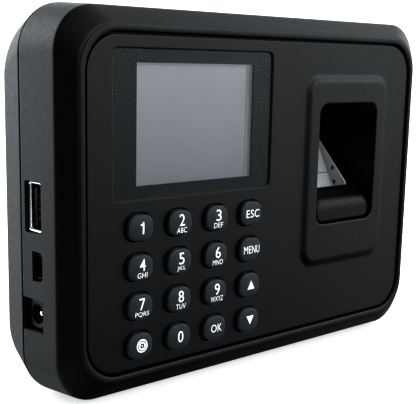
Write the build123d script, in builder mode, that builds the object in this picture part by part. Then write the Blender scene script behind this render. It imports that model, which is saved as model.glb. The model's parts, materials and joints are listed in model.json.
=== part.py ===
"""Wall-mounted fingerprint attendance terminal, as an assembly of separate pieces.

Frame: millimetres, +X to the viewer's right, +Z up, +Y into the wall.
The origin is the centre of the rear face, which lies flat on the wall.
Depths are distances in front of the wall, so depth 33 is the plane y = -33.
"""
from build123d import *
import os

os.makedirs("parts", exist_ok=True)

# ---------------------------------------------------------------- case
CASE_W = 171.0          # width and height at the sharp front edge of the side walls
CASE_H = 120.0
CASE_R = 14.0           # corner radius there
FLARE = 1.2             # each side wall leans out by this much on its way to the split
WALL = 2.2              # moulded wall thickness
BEVEL = 5.6             # width of the sloping border, seen from the front
LAND = 1.7              # width of the narrow lip inside the bevel
GAP = 1.3               # groove between the lip and the front panel
LIP_R = 13.0            # outer corner radius of the lip
BACK_W = 170.8          # rear face, a little smaller and with rounder corners
BACK_H = 121.2
BACK_R = 23.0
BACK_ROUND = 2.0        # rounding of the rear face's edge

# depths, measured from the wall to the front
SPLIT = 12.1            # parting line between the front shell and the rear cover
PARTING_W = 0.5         # shadow groove along the parting line
EDGE = 28.75            # sharp edge where the side wall meets the bevel
PANEL_FACE = 33.0       # front of the inset panel
LIP_FACE = 33.75
PANEL_T = 2.2
PANEL_REAR = PANEL_FACE - PANEL_T
LEDGE_REAR = 28.2       # rear of the ledge that carries the panel
BOARD_FRONT = 23.6
BOARD_T = 1.6
BOARD_REAR = BOARD_FRONT - BOARD_T

# panel, and the ledge behind it
PANEL_W = CASE_W - 2 * (BEVEL + LAND + GAP)
PANEL_H = CASE_H - 2 * (BEVEL + LAND + GAP)
PANEL_R = 11.0
LEDGE_W = 148.8         # opening in the ledge
LEDGE_H = 99.2
LEDGE_R = 8.0

# screws that hold the rear cover on
BOSS_X = 73.0
BOSS_Z = 47.5
BOSS_R = 3.6
SCREW_R = 1.5
SCREW_HEAD_R = 2.8
SCREW_HEAD_T = 2.0
SCREW_L = 15.0
BOSS_BORE = 10.0        # depth of the blind hole in each boss
THREAD_FIT = 0.05       # all screws stop this short of the bore wall
COVER_BOSS_R = 4.8
COVER_BORE_R = 3.2
COVER_BORE_T = 4.0

# wall keyholes in the rear cover
KEYHOLE_X = 45.0
KEYHOLE_Z = 24.0
KEYHOLE_R = 4.5
KEYHOLE_SLOT_W = 4.4
KEYHOLE_SLOT_L = 9.0

# shallow recess for a blank data label
LABEL_W, LABEL_H, LABEL_Z = 56.0, 26.0, 28.0
LABEL_R, LABEL_T = 2.0, 0.4

# slots through the rear cover: length, width, pitch and count
SOUND_SLOTS = (20.0, 1.6, 3.6, 5)
VENTS = (16.0, 1.8, 5.0, 9)
VENT_X = -40.0

# ---------------------------------------------------------------- display
LENS_W = 67.8
LENS_H = 45.4
LENS_X = -33.9
LENS_Z = 25.0
LENS_T = 1.0
LENS_R = 2.0
TAPE_T = 0.2
SLIP = 0.1              # all-round clearance of an inlaid or dropped-in piece
WINDOW_W = 49.7
WINDOW_H = 37.2
WINDOW_X = -34.15
WINDOW_Z = 25.0
LCD_X = -34.9
LCD_GLASS = (57.0, 43.4, 1.4)
LCD_LIGHT = (58.6, 45.0, 2.8)
LCD_BEZEL = (60.4, 46.6, 2.4)
LCD_VIEW = (49.6, 38.6)
LCD_VIEW_X = -35.4      # the bezel's rim is wider on the right than on the left
LCD_FIT = 0.1           # clearance between the backlight and the bezel round it
HOLDER_RIM = 2.0
FLEX_W = 20.0
FLEX_T = 0.3
FLEX_TAIL = (2.0, 16.0) # the flex lies on the board between these heights above the backlight's lower edge
FLEX_RISE = 2.15        # height of its upright part above that edge
LCD_FRONT = 30.6

# ---------------------------------------------------------------- keypad
KEY_PITCH_X = 16.06
KEY_PITCH_Z = 12.55
KEY_LEFT = -58.05       # first column
KEY_TOP = -6.3          # first row
KEY_W = 10.0
KEY_H = 8.3
KEY_R = 3.6
KEY_PROUD = 1.8
KEY_CLEAR = 0.35
KEY_FLANGE = 0.9        # retaining flange, beyond the cap all round
KEY_FLANGE_T = 1.0
KEY_FLANGE_GAP = 0.3
KEY_STEM = 5.6
KEY_STEM_END = 25.0
MAT_HOLE = 6.6
MAT_SHEET_T = 1.2
MAT_SKIRT_W = 2.0
MAT_LEFT, MAT_RIGHT = -66.2, -1.8
MAT_BOTTOM, MAT_TOP = -52.0, -0.9
PAD_R = 2.2
PAD_T = 0.15
KEY_NAMES = [
    ["1", "2", "3", "esc"],
    ["4", "5", "6", "menu"],
    ["7", "8", "9", "up"],
    ["power", "0", "ok", "down"],
]

# ---------------------------------------------------------------- side sockets
USB_Z = 0.65
MINI_Z = -17.4
JACK_Z = -32.85
USB_CUT = (15.1, 7.5)   # along the wall, and in depth
MINI_CUT = (8.6, 4.5)
JACK_CUT = 9.7
USB_DEPTH = 17.9        # middle of the cut-out, in depth
MINI_DEPTH = 19.75
JACK_DEPTH = 17.2
SOCKET_FACE = -85.5     # x of the socket mouths
USB_SHELL = (16.0, 14.2, 6.8)   # length into the case, along the wall, and in depth
MINI_SHELL = (9.0, 7.7, 3.9)
USB_SHEET = 0.4         # sheet metal of the shells
MINI_SHEET = 0.35
SOCKET_END = 0.6        # closed rear end of each shell
USB_TONGUE = (1.9, 11.4)        # in depth, and along the wall
MINI_TONGUE = (0.9, 4.6)
USB_TONGUE_OFF = 1.2    # the tongue sits off-centre, towards the wall
JACK_BODY = (14.0, 9.0, 9.4)
JACK_FACE = -84.7
JACK_CHAMFER = 2.4
JACK_BORE_R, JACK_BORE = 3.2, 9.5
JACK_PIN_R, JACK_PIN_SET = 1.0, 1.0     # radius, and how far its tip is set back

# ---------------------------------------------------------------- fingerprint reader
READER_X = 41.0
PLATEAU_W = 47.0        # raised frame round the opening, at its foot
PLATEAU_H = 69.7
PLATEAU_Z = 5.35
PLATEAU_R = 6.5
PLATEAU_T = 1.1
PLATEAU_SLOPE = 2.2
MOUTH_W = 32.9
MOUTH_H = 44.2
MOUTH_Z = 8.05
MOUTH_R = 4.0
CAVITY_SLIP = 0.25      # the cavity is this much larger than the mouth all round
CAVITY_BACK = 9.8
HOUSING_T = 1.8
HOUSING_FLANGE = 8.6    # added width of the flange that is screwed to the panel
READER_SCREWS = (MOUTH_W + 7.4, MOUTH_H - 8.0)      # spacing across and up
READER_SCREW_R = 0.75
READER_HEAD_T = 1.2
PIN_L = 2.2             # how far these screws reach into the panel
EYE = (18.0, 24.0)      # opening in the rear of the cavity that the sensor looks through
SENSOR_BOARD = (30.0, 34.0)
EYE_DROP = 4.0          # the opening and the sensor board sit this much below the mouth's centre
REST_GAP = 1.0
REST_FACE = 33.2
REST_R = 3.4
REST_T = 7.8            # from the rest's face to its rear
GLASS_W = 20.4
CHEEK_T = 1.0

# ---------------------------------------------------------------- inside
BOARD_LEFT, BOARD_RIGHT = -82.5, 16.0
BOARD_HALF_H = 53.0
BOARD_NOTCH = (28.0, 20.0)
POSTS = [(-69.8, 36.0), (-69.8, -24.0), (11.0, 40.0), (11.0, -44.0)]
POST_R = 2.3
POST_BORE_R = 0.9
POST_BORE = 6.0
POST_HOLE_R = 1.2       # hole through the board
POST_HEAD_R, POST_HEAD_T = 2.0, 1.4
SPEAKER_X, SPEAKER_Z, SPEAKER_R, SPEAKER_T = 45.0, -37.0, 14.0, 5.0
MAGNET_R, MAGNET_T = 7.7, 2.0
CELL_X, CELL_Z, CELL_R, CELL_T = -12.0, -24.0, 10.0, 3.2
HOLDER_T = 4.6          # battery holder, with a floor between the board and the battery
HOLDER_FLOOR = 1.0


def layer(depth):
    """Vertical plane that faces the viewer, `depth` in front of the wall."""
    return Plane.XZ.offset(depth)


def section(x):
    """Plane across the case at x; its x axis is depth and its y axis is height."""
    return Plane(origin=(x, 0, 0), x_dir=(0, -1, 0), z_dir=(-1, 0, 0))


def save(builder, label):
    """Name a finished piece and write it to its own file."""
    builder.part.label = label
    export_step(builder.part, f"parts/{label}.step")


KEY_CENTRES = {
    name: (KEY_LEFT + col * KEY_PITCH_X, KEY_TOP - row * KEY_PITCH_Z)
    for row, names in enumerate(KEY_NAMES)
    for col, name in enumerate(names)
}
CORNERS = [(sx * BOSS_X, sz * BOSS_Z) for sx in (-1, 1) for sz in (-1, 1)]


inner = FLARE - WALL    # how far the inside of the side walls stands out at the split

# ================================================================ case shells
with BuildPart() as front_shell:
    # side walls, leaning out towards the rear
    with BuildSketch(layer(SPLIT)):
        RectangleRounded(CASE_W + 2 * FLARE, CASE_H + 2 * FLARE, CASE_R + FLARE)
    with BuildSketch(layer(EDGE)):
        RectangleRounded(CASE_W, CASE_H, CASE_R)
    loft(ruled=True)
    # sloping border up to the lip
    with BuildSketch(layer(EDGE)):
        RectangleRounded(CASE_W, CASE_H, CASE_R)
    with BuildSketch(layer(LIP_FACE)):
        RectangleRounded(CASE_W - 2 * BEVEL, CASE_H - 2 * BEVEL, LIP_R)
    loft(ruled=True)
    # hollow inside
    with BuildSketch(layer(SPLIT)):
        RectangleRounded(CASE_W + 2 * inner, CASE_H + 2 * inner, CASE_R + inner)
    with BuildSketch(layer(LEDGE_REAR)):
        RectangleRounded(CASE_W - 2 * WALL, CASE_H - 2 * WALL, CASE_R - WALL)
    loft(ruled=True, mode=Mode.SUBTRACT)
    # seat for the front panel, and the opening in the ledge behind it
    with BuildSketch(layer(LIP_FACE)):
        RectangleRounded(PANEL_W + 2 * GAP, PANEL_H + 2 * GAP, PANEL_R + GAP)
    extrude(amount=PANEL_REAR - LIP_FACE, mode=Mode.SUBTRACT)
    with BuildSketch(layer(PANEL_REAR)):
        RectangleRounded(LEDGE_W, LEDGE_H, LEDGE_R)
    extrude(amount=LEDGE_REAR - PANEL_REAR, mode=Mode.SUBTRACT)
    # screw bosses in the corners
    with BuildSketch(layer(SPLIT)):
        with Locations(*CORNERS):
            Circle(BOSS_R)
    extrude(amount=LEDGE_REAR - SPLIT)
    with BuildSketch(layer(SPLIT)):
        with Locations(*CORNERS):
            Circle(SCREW_R)
    extrude(amount=BOSS_BORE, mode=Mode.SUBTRACT)
    # cut-outs for the side sockets
    with BuildSketch(section(-CASE_W / 2 - 3)):
        with Locations((USB_DEPTH, USB_Z)):
            Rectangle(USB_CUT[1], USB_CUT[0])
        with Locations((MINI_DEPTH, MINI_Z)):
            Rectangle(MINI_CUT[1], MINI_CUT[0])
        with Locations(((SPLIT + BOARD_REAR) / 2, JACK_Z)):
            Rectangle(BOARD_REAR - SPLIT, JACK_CUT)
    extrude(amount=-10.0, mode=Mode.SUBTRACT)
save(front_shell, "front_shell")

with BuildPart() as rear_cover:
    # outside: a shallow pan with rounder corners at the back
    with BuildSketch(layer(SPLIT - PARTING_W)):
        RectangleRounded(CASE_W + 2 * FLARE, CASE_H + 2 * FLARE, CASE_R + FLARE)
    with BuildSketch(layer(0)):
        RectangleRounded(BACK_W, BACK_H, BACK_R)
    loft(ruled=True)
    fillet(rear_cover.faces().sort_by(Axis.Y)[-1].edges(), radius=BACK_ROUND)
    # narrow rim that leaves a shadow groove along the parting line
    with BuildSketch(layer(SPLIT - PARTING_W)):
        RectangleRounded(
            CASE_W + 2 * (FLARE - PARTING_W), CASE_H + 2 * (FLARE - PARTING_W), CASE_R + FLARE - PARTING_W
        )
    extrude(amount=PARTING_W)
    # hollow inside
    with BuildSketch(layer(WALL)):
        RectangleRounded(BACK_W - 2 * WALL - 1, BACK_H - 2 * WALL - 1, BACK_R - WALL)
    with BuildSketch(layer(SPLIT)):
        RectangleRounded(CASE_W + 2 * inner, CASE_H + 2 * inner, CASE_R + inner)
    loft(ruled=True, mode=Mode.SUBTRACT)
    # corner bosses, with the screw heads sunk from behind
    with BuildSketch(layer(WALL)):
        with Locations(*CORNERS):
            Circle(COVER_BOSS_R)
    extrude(amount=SPLIT - WALL)
    with BuildSketch(layer(0)):
        with Locations(*CORNERS):
            Circle(SCREW_R + 0.2)
    extrude(amount=SPLIT, mode=Mode.SUBTRACT)
    with BuildSketch(layer(0)):
        with Locations(*CORNERS):
            Circle(COVER_BORE_R)
    extrude(amount=COVER_BORE_T, mode=Mode.SUBTRACT)
    # two wall keyholes, narrow end up
    with BuildSketch(layer(0)):
        with Locations((-KEYHOLE_X, KEYHOLE_Z), (KEYHOLE_X, KEYHOLE_Z)):
            Circle(KEYHOLE_R)
        with Locations(
            (-KEYHOLE_X, KEYHOLE_Z + KEYHOLE_SLOT_L / 2), (KEYHOLE_X, KEYHOLE_Z + KEYHOLE_SLOT_L / 2)
        ):
            SlotCenterToCenter(KEYHOLE_SLOT_L, KEYHOLE_SLOT_W, rotation=90)
    extrude(amount=WALL, mode=Mode.SUBTRACT)
    # sound slots in front of the speaker, and a row of vents
    with BuildSketch(layer(0)):
        with Locations((SPEAKER_X, SPEAKER_Z)):
            with GridLocations(0, SOUND_SLOTS[2], 1, SOUND_SLOTS[3]):
                SlotOverall(SOUND_SLOTS[0], SOUND_SLOTS[1])
        with Locations((VENT_X, SPEAKER_Z)):
            with GridLocations(VENTS[2], 0, VENTS[3], 1):
                SlotOverall(VENTS[0], VENTS[1], rotation=90)
    extrude(amount=WALL, mode=Mode.SUBTRACT)
    # shallow blank recess for a data label
    with BuildSketch(layer(0)):
        with Locations((0, LABEL_Z)):
            RectangleRounded(LABEL_W, LABEL_H, LABEL_R)
    extrude(amount=LABEL_T, mode=Mode.SUBTRACT)
save(rear_cover, "rear_cover")

with BuildPart() as front_panel:
    with BuildSketch(layer(PANEL_REAR)):
        RectangleRounded(PANEL_W, PANEL_H, PANEL_R)
    extrude(amount=PANEL_T)
    fillet(front_panel.faces().sort_by(Axis.Y)[0].edges(), radius=0.4)
    # raised frame round the fingerprint reader
    with BuildSketch(layer(PANEL_FACE)):
        with Locations((READER_X, PLATEAU_Z)):
            RectangleRounded(PLATEAU_W, PLATEAU_H, PLATEAU_R)
    with BuildSketch(layer(PANEL_FACE + PLATEAU_T)):
        with Locations((READER_X, PLATEAU_Z)):
            RectangleRounded(
                PLATEAU_W - 2 * PLATEAU_SLOPE, PLATEAU_H - 2 * PLATEAU_SLOPE, PLATEAU_R - PLATEAU_SLOPE / 2
            )
    loft(ruled=True)
    with BuildSketch(layer(PANEL_REAR)):
        with Locations((READER_X, MOUTH_Z)):
            RectangleRounded(MOUTH_W, MOUTH_H, MOUTH_R)
    extrude(amount=PANEL_T + PLATEAU_T, mode=Mode.SUBTRACT)
    # recess for the lens, and the viewing opening behind it
    with BuildSketch(layer(PANEL_FACE)):
        with Locations((LENS_X, LENS_Z)):
            RectangleRounded(LENS_W + 2 * SLIP, LENS_H + 2 * SLIP, LENS_R + SLIP)
    extrude(amount=-(LENS_T + TAPE_T), mode=Mode.SUBTRACT)
    with BuildSketch(layer(PANEL_REAR)):
        with Locations((WINDOW_X, WINDOW_Z)):
            Rectangle(WINDOW_W + 3, WINDOW_H + 3)
    extrude(amount=PANEL_T, mode=Mode.SUBTRACT)
    # one hole for each key
    with BuildSketch(layer(PANEL_REAR)):
        with Locations(*KEY_CENTRES.values()):
            RectangleRounded(KEY_W + 2 * KEY_CLEAR, KEY_H + 2 * KEY_CLEAR, KEY_R + KEY_CLEAR)
    extrude(amount=PANEL_T, mode=Mode.SUBTRACT)
    # posts that the main board is screwed to
    with BuildSketch(layer(PANEL_REAR)):
        with Locations(*POSTS):
            Circle(POST_R)
    extrude(amount=BOARD_FRONT - PANEL_REAR)
    with BuildSketch(layer(BOARD_FRONT)):
        with Locations(*POSTS):
            Circle(POST_BORE_R)
    extrude(amount=POST_BORE, mode=Mode.SUBTRACT)
    # blind holes for the reader's screws
    with BuildSketch(layer(PANEL_REAR)):
        with Locations((READER_X, MOUTH_Z)):
            with GridLocations(*READER_SCREWS, 2, 2):
                Circle(READER_SCREW_R + THREAD_FIT)
    extrude(amount=PIN_L + 0.4, mode=Mode.SUBTRACT)
save(front_panel, "front_panel")

# ================================================================ display
with BuildPart() as display_lens:
    with BuildSketch(layer(PANEL_FACE - LENS_T)):
        with Locations((LENS_X, LENS_Z)):
            RectangleRounded(LENS_W, LENS_H, LENS_R)
    extrude(amount=LENS_T)
    fillet(display_lens.faces().sort_by(Axis.Y)[0].edges(), radius=0.2)
save(display_lens, "display_lens")

with BuildPart() as lens_tape:
    with BuildSketch(layer(PANEL_FACE - LENS_T - TAPE_T)):
        with Locations((LENS_X, LENS_Z)):
            RectangleRounded(LENS_W - 1, LENS_H - 1, LENS_R)
        with Locations((WINDOW_X, WINDOW_Z)):
            Rectangle(WINDOW_W + 4, WINDOW_H + 4, mode=Mode.SUBTRACT)
    extrude(amount=TAPE_T)
save(lens_tape, "lens_tape")

with BuildPart() as lcd_glass:
    with BuildSketch(layer(LCD_FRONT - LCD_GLASS[2])):
        with Locations((LCD_X, WINDOW_Z)):
            Rectangle(LCD_GLASS[0], LCD_GLASS[1])
    extrude(amount=LCD_GLASS[2])
save(lcd_glass, "lcd_glass")

light_front = LCD_FRONT - LCD_GLASS[2]
light_rear = light_front - LCD_LIGHT[2]
light_foot = WINDOW_Z - LCD_LIGHT[1] / 2
with BuildPart() as lcd_backlight:
    with BuildSketch(layer(light_rear)):
        with Locations((LCD_X, WINDOW_Z)):
            RectangleRounded(LCD_LIGHT[0], LCD_LIGHT[1], 1.0)
    extrude(amount=LCD_LIGHT[2])
save(lcd_backlight, "lcd_backlight")

with BuildPart() as lcd_bezel:
    with BuildSketch(layer(PANEL_REAR - LCD_BEZEL[2])):
        with Locations((LCD_X, WINDOW_Z)):
            RectangleRounded(LCD_BEZEL[0], LCD_BEZEL[1], 1.2)
            Rectangle(LCD_LIGHT[0] + 2 * LCD_FIT, LCD_LIGHT[1] + 2 * LCD_FIT, mode=Mode.SUBTRACT)
    extrude(amount=LCD_BEZEL[2])
    with BuildSketch(layer(LCD_FRONT)):
        with Locations((LCD_X, WINDOW_Z)):
            RectangleRounded(LCD_BEZEL[0], LCD_BEZEL[1], 1.2)
        with Locations((LCD_VIEW_X, WINDOW_Z)):
            Rectangle(LCD_VIEW[0], LCD_VIEW[1], mode=Mode.SUBTRACT)
    extrude(amount=PANEL_REAR - LCD_FRONT)
save(lcd_bezel, "lcd_bezel")

with BuildPart() as lcd_holder:
    with BuildSketch(layer(BOARD_FRONT)):
        with Locations((LCD_X, WINDOW_Z)):
            RectangleRounded(LCD_LIGHT[0], LCD_LIGHT[1], 1.0)
            Rectangle(LCD_LIGHT[0] - 2 * HOLDER_RIM, LCD_LIGHT[1] - 2 * HOLDER_RIM, mode=Mode.SUBTRACT)
    extrude(amount=light_rear - BOARD_FRONT)
    # way out for the flex
    with BuildSketch(layer(BOARD_FRONT)):
        with Locations((LCD_X, light_foot)):
            Rectangle(FLEX_W + 1.0, 4 * HOLDER_RIM)
    extrude(amount=light_rear - BOARD_FRONT, mode=Mode.SUBTRACT)
save(lcd_holder, "lcd_holder")

with BuildPart() as lcd_flex:
    with BuildSketch(layer(BOARD_FRONT)):
        with Locations((LCD_X, light_foot + sum(FLEX_TAIL) / 2)):
            Rectangle(FLEX_W, FLEX_TAIL[1] - FLEX_TAIL[0])
    extrude(amount=FLEX_T)
    with BuildSketch(layer(BOARD_FRONT)):
        with Locations((LCD_X, light_foot + FLEX_RISE)):
            Rectangle(FLEX_W, FLEX_T)
    extrude(amount=light_rear - BOARD_FRONT)
save(lcd_flex, "lcd_flex")

# ================================================================ keypad
with BuildPart() as keypad_mat:
    mat_mid = ((MAT_LEFT + MAT_RIGHT) / 2, (MAT_BOTTOM + MAT_TOP) / 2)
    with BuildSketch(layer(LEDGE_REAR - MAT_SHEET_T)):
        with Locations(mat_mid):
            RectangleRounded(MAT_RIGHT - MAT_LEFT, MAT_TOP - MAT_BOTTOM, 3.0)
        with Locations(*KEY_CENTRES.values()):
            RectangleRounded(MAT_HOLE, MAT_HOLE, 1.0, mode=Mode.SUBTRACT)
    extrude(amount=MAT_SHEET_T)
    with BuildSketch(layer(BOARD_FRONT)):
        with Locations(mat_mid):
            RectangleRounded(MAT_RIGHT - MAT_LEFT, MAT_TOP - MAT_BOTTOM, 3.0)
            RectangleRounded(
                MAT_RIGHT - MAT_LEFT - 2 * MAT_SKIRT_W, MAT_TOP - MAT_BOTTOM - 2 * MAT_SKIRT_W, 1.0,
                mode=Mode.SUBTRACT,
            )
    extrude(amount=LEDGE_REAR - MAT_SHEET_T - BOARD_FRONT)
save(keypad_mat, "keypad_mat")

with BuildPart() as key_contacts:
    with BuildSketch(layer(BOARD_FRONT)):
        with Locations(*KEY_CENTRES.values()):
            Circle(PAD_R)
    extrude(amount=PAD_T)
save(key_contacts, "key_contacts")


def make_key(x, z):
    """Key cap with a retaining flange behind the panel and a stem towards the contacts."""
    flange_front = PANEL_REAR - KEY_FLANGE_GAP
    with BuildPart() as key:
        with BuildSketch(layer(flange_front)):
            with Locations((x, z)):
                RectangleRounded(KEY_W, KEY_H, KEY_R)
        extrude(amount=PANEL_FACE + KEY_PROUD - flange_front)
        fillet(key.faces().sort_by(Axis.Y)[0].edges(), radius=0.9)
        with BuildSketch(layer(flange_front - KEY_FLANGE_T)):
            with Locations((x, z)):
                RectangleRounded(KEY_W + 2 * KEY_FLANGE, KEY_H + 2 * KEY_FLANGE, KEY_R + KEY_FLANGE)
        extrude(amount=KEY_FLANGE_T)
        with BuildSketch(layer(KEY_STEM_END)):
            with Locations((x, z)):
                RectangleRounded(KEY_STEM, KEY_STEM, 0.8)
        extrude(amount=flange_front - KEY_FLANGE_T - KEY_STEM_END)
    return key


for name, (key_x, key_z) in KEY_CENTRES.items():
    save(make_key(key_x, key_z), f"key_{name}")

# ================================================================ boards
with BuildPart() as main_board:
    with BuildSketch(layer(BOARD_REAR)):
        with Locations(((BOARD_LEFT + BOARD_RIGHT) / 2, 0)):
            Rectangle(BOARD_RIGHT - BOARD_LEFT, 2 * BOARD_HALF_H)
        with Locations((BOARD_LEFT, BOARD_HALF_H), (BOARD_LEFT, -BOARD_HALF_H)):
            Rectangle(*BOARD_NOTCH, mode=Mode.SUBTRACT)
        with Locations(*POSTS):
            Circle(POST_HOLE_R, mode=Mode.SUBTRACT)
    extrude(amount=BOARD_T)
save(main_board, "main_board")

# packages on the rear of the board: centre x, centre z, width, height, thickness
CHIPS = [
    (-38.0, 22.0, 14.0, 14.0, 1.4),
    (-58.0, 24.0, 10.0, 8.0, 1.2),
    (-18.0, 24.0, 11.0, 11.0, 1.4),
    (-52.0, -4.0, 5.0, 6.0, 1.5),
    (-30.0, 2.0, 5.0, 4.0, 1.5),
    (-56.0, -36.0, 7.0, 7.0, 3.6),
    (-40.0, -36.0, 5.0, 4.0, 1.5),
]
with BuildPart() as board_chips:
    for chip_x, chip_z, chip_w, chip_h, chip_t in CHIPS:
        with BuildSketch(layer(BOARD_REAR)):
            with Locations((chip_x, chip_z)):
                Rectangle(chip_w, chip_h)
        extrude(amount=-chip_t)
save(board_chips, "board_chips")

with BuildPart() as battery_holder:
    with BuildSketch(layer(BOARD_REAR)):
        with Locations((CELL_X, CELL_Z)):
            Circle(CELL_R + 1.6)
    extrude(amount=-HOLDER_T)
    with BuildSketch(layer(BOARD_REAR - HOLDER_FLOOR)):
        with Locations((CELL_X, CELL_Z)):
            Circle(CELL_R + 0.15)
    extrude(amount=HOLDER_FLOOR - HOLDER_T, mode=Mode.SUBTRACT)
save(battery_holder, "battery_holder")

with BuildPart() as clock_battery:
    with BuildSketch(layer(BOARD_REAR - HOLDER_FLOOR)):
        with Locations((CELL_X, CELL_Z)):
            Circle(CELL_R)
    extrude(amount=-CELL_T)
    fillet(clock_battery.faces().sort_by(Axis.Y)[-1].edges(), radius=0.4)
save(clock_battery, "clock_battery")

# ================================================================ side sockets
with BuildPart() as usb_a_shell:
    with BuildSketch(section(SOCKET_FACE)):
        with Locations((USB_DEPTH, USB_Z)):
            RectangleRounded(USB_SHELL[2], USB_SHELL[1], 0.8)
    extrude(amount=-USB_SHELL[0])
    with BuildSketch(section(SOCKET_FACE)):
        with Locations((USB_DEPTH, USB_Z)):
            RectangleRounded(USB_SHELL[2] - 2 * USB_SHEET, USB_SHELL[1] - 2 * USB_SHEET, 0.5)
    extrude(amount=SOCKET_END - USB_SHELL[0], mode=Mode.SUBTRACT)
save(usb_a_shell, "usb_a_shell")

with BuildPart() as usb_a_tongue:
    with BuildSketch(section(SOCKET_FACE + 1.0)):
        with Locations((USB_DEPTH - USB_TONGUE_OFF, USB_Z)):
            Rectangle(*USB_TONGUE)
    extrude(amount=1.0 + SOCKET_END - USB_SHELL[0])
save(usb_a_tongue, "usb_a_tongue")

with BuildPart() as mini_usb_shell:
    with BuildSketch(section(SOCKET_FACE)):
        with Locations((MINI_DEPTH, MINI_Z)):
            RectangleRounded(MINI_SHELL[2], MINI_SHELL[1], 0.9)
    extrude(amount=-MINI_SHELL[0])
    with BuildSketch(section(SOCKET_FACE)):
        with Locations((MINI_DEPTH, MINI_Z)):
            RectangleRounded(MINI_SHELL[2] - 2 * MINI_SHEET, MINI_SHELL[1] - 2 * MINI_SHEET, 0.6)
    extrude(amount=SOCKET_END - MINI_SHELL[0], mode=Mode.SUBTRACT)
save(mini_usb_shell, "mini_usb_shell")

with BuildPart() as mini_usb_tongue:
    with BuildSketch(section(SOCKET_FACE + 1.2)):
        with Locations((MINI_DEPTH, MINI_Z)):
            Rectangle(*MINI_TONGUE)
    extrude(amount=1.2 + SOCKET_END - MINI_SHELL[0])
save(mini_usb_tongue, "mini_usb_tongue")

with BuildPart() as dc_jack_body:
    with BuildSketch(section(JACK_FACE)):
        with Locations((JACK_DEPTH, JACK_Z)):
            Rectangle(JACK_BODY[2], JACK_BODY[1])
    extrude(amount=-JACK_BODY[0])
    chamfer(dc_jack_body.edges().filter_by(Axis.X).group_by(Axis.Y)[-1], length=JACK_CHAMFER)
    with BuildSketch(section(JACK_FACE)):
        with Locations((JACK_DEPTH, JACK_Z)):
            Circle(JACK_BORE_R)
    extrude(amount=-JACK_BORE, mode=Mode.SUBTRACT)
save(dc_jack_body, "dc_jack_body")

with BuildPart() as dc_jack_pin:
    with BuildSketch(section(JACK_FACE + JACK_PIN_SET)):
        with Locations((JACK_DEPTH, JACK_Z)):
            Circle(JACK_PIN_R)
    extrude(amount=JACK_PIN_SET - JACK_BORE)
    fillet(dc_jack_pin.faces().sort_by(Axis.X)[0].edges(), radius=0.6)
save(dc_jack_pin, "dc_jack_pin")

# ================================================================ fingerprint reader
with BuildPart() as sensor_housing:
    outer_w = MOUTH_W + 2 * (CAVITY_SLIP + HOUSING_T)
    outer_h = MOUTH_H + 2 * (CAVITY_SLIP + HOUSING_T)
    with BuildSketch(layer(CAVITY_BACK - HOUSING_T)):
        with Locations((READER_X, MOUTH_Z)):
            RectangleRounded(outer_w, outer_h, MOUTH_R + HOUSING_T)
    extrude(amount=PANEL_REAR - CAVITY_BACK + HOUSING_T)
    with BuildSketch(layer(PANEL_REAR)):
        with Locations((READER_X, MOUTH_Z)):
            RectangleRounded(outer_w + HOUSING_FLANGE, outer_h + 1.0, MOUTH_R + HOUSING_T)
        with Locations((READER_X, MOUTH_Z)):
            with GridLocations(*READER_SCREWS, 2, 2):
                Circle(READER_SCREW_R + 0.25, mode=Mode.SUBTRACT)
    extrude(amount=-HOUSING_T)
    with BuildSketch(layer(PANEL_REAR)):
        with Locations((READER_X, MOUTH_Z)):
            RectangleRounded(MOUTH_W + 2 * CAVITY_SLIP, MOUTH_H + 2 * CAVITY_SLIP, MOUTH_R)
    extrude(amount=CAVITY_BACK - PANEL_REAR, mode=Mode.SUBTRACT)
    with BuildSketch(layer(CAVITY_BACK)):
        with Locations((READER_X, MOUTH_Z - EYE_DROP)):
            Rectangle(*EYE)
    extrude(amount=-HOUSING_T, mode=Mode.SUBTRACT)
save(sensor_housing, "sensor_housing")

cavity_floor = MOUTH_Z - MOUTH_H / 2 - CAVITY_SLIP
rest_floor = MOUTH_Z - MOUTH_H / 2 + 0.2
rest_half = MOUTH_W / 2 - REST_GAP


def rest_at(back, up):
    """Point on the rest's side view, measured back from its face and up from its foot."""
    return (REST_FACE - back, rest_floor + up)


with BuildPart() as finger_rest:
    # seen from the side: upright front, rounded brow, and a ramp up to the glass
    with BuildSketch(section(READER_X - rest_half)):
        with BuildLine():
            Line(rest_at(0.0, 0.0), rest_at(0.0, 6.0))
            ThreePointArc(rest_at(0.0, 6.0), rest_at(0.9, 8.3), rest_at(3.0, 9.6))
            Line(rest_at(3.0, 9.6), rest_at(6.6, 12.2))
            Line(rest_at(6.6, 12.2), rest_at(REST_T, 12.0))
            Line(rest_at(REST_T, 12.0), rest_at(REST_T, 0.0))
            Line(rest_at(REST_T, 0.0), rest_at(0.0, 0.0))
        make_face()
    extrude(amount=-2 * rest_half)
    # rounded corners, seen from the front
    with BuildSketch(layer(REST_FACE - REST_T)):
        with Locations((READER_X, rest_floor + 10.0)):
            RectangleRounded(2 * rest_half, 20.0, REST_R)
        with Locations((READER_X, rest_floor + 13.0)):
            Rectangle(2 * rest_half, 14.0)
    extrude(amount=REST_T, mode=Mode.INTERSECT)
    # foot down to the floor of the cavity
    with BuildSketch(layer(REST_FACE - REST_T + 0.2)):
        with Locations((READER_X, rest_floor - 0.1)):
            Rectangle(20.0, 2 * (rest_floor - cavity_floor) - 0.2)
    extrude(amount=4.0)
save(finger_rest, "finger_rest")

# side view of the sensor: the glass leans back, and the cheeks stand in front of it
GLASS_FOOT = (20.3, -12.0)
GLASS_HEAD = (12.4, 19.4)
CHEEK_TIP = (25.2, -0.9)
CHEEK_TOP = (13.9, 13.2)
GLASS_REAR = 10.6
half_glass = GLASS_W / 2
with BuildPart() as sensor_prism:
    with BuildSketch(section(READER_X - half_glass)):
        Polygon(GLASS_FOOT, GLASS_HEAD, (GLASS_REAR, GLASS_HEAD[1]), (GLASS_REAR, GLASS_FOOT[1]), align=None)
    extrude(amount=-GLASS_W)
save(sensor_prism, "sensor_prism")

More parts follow.
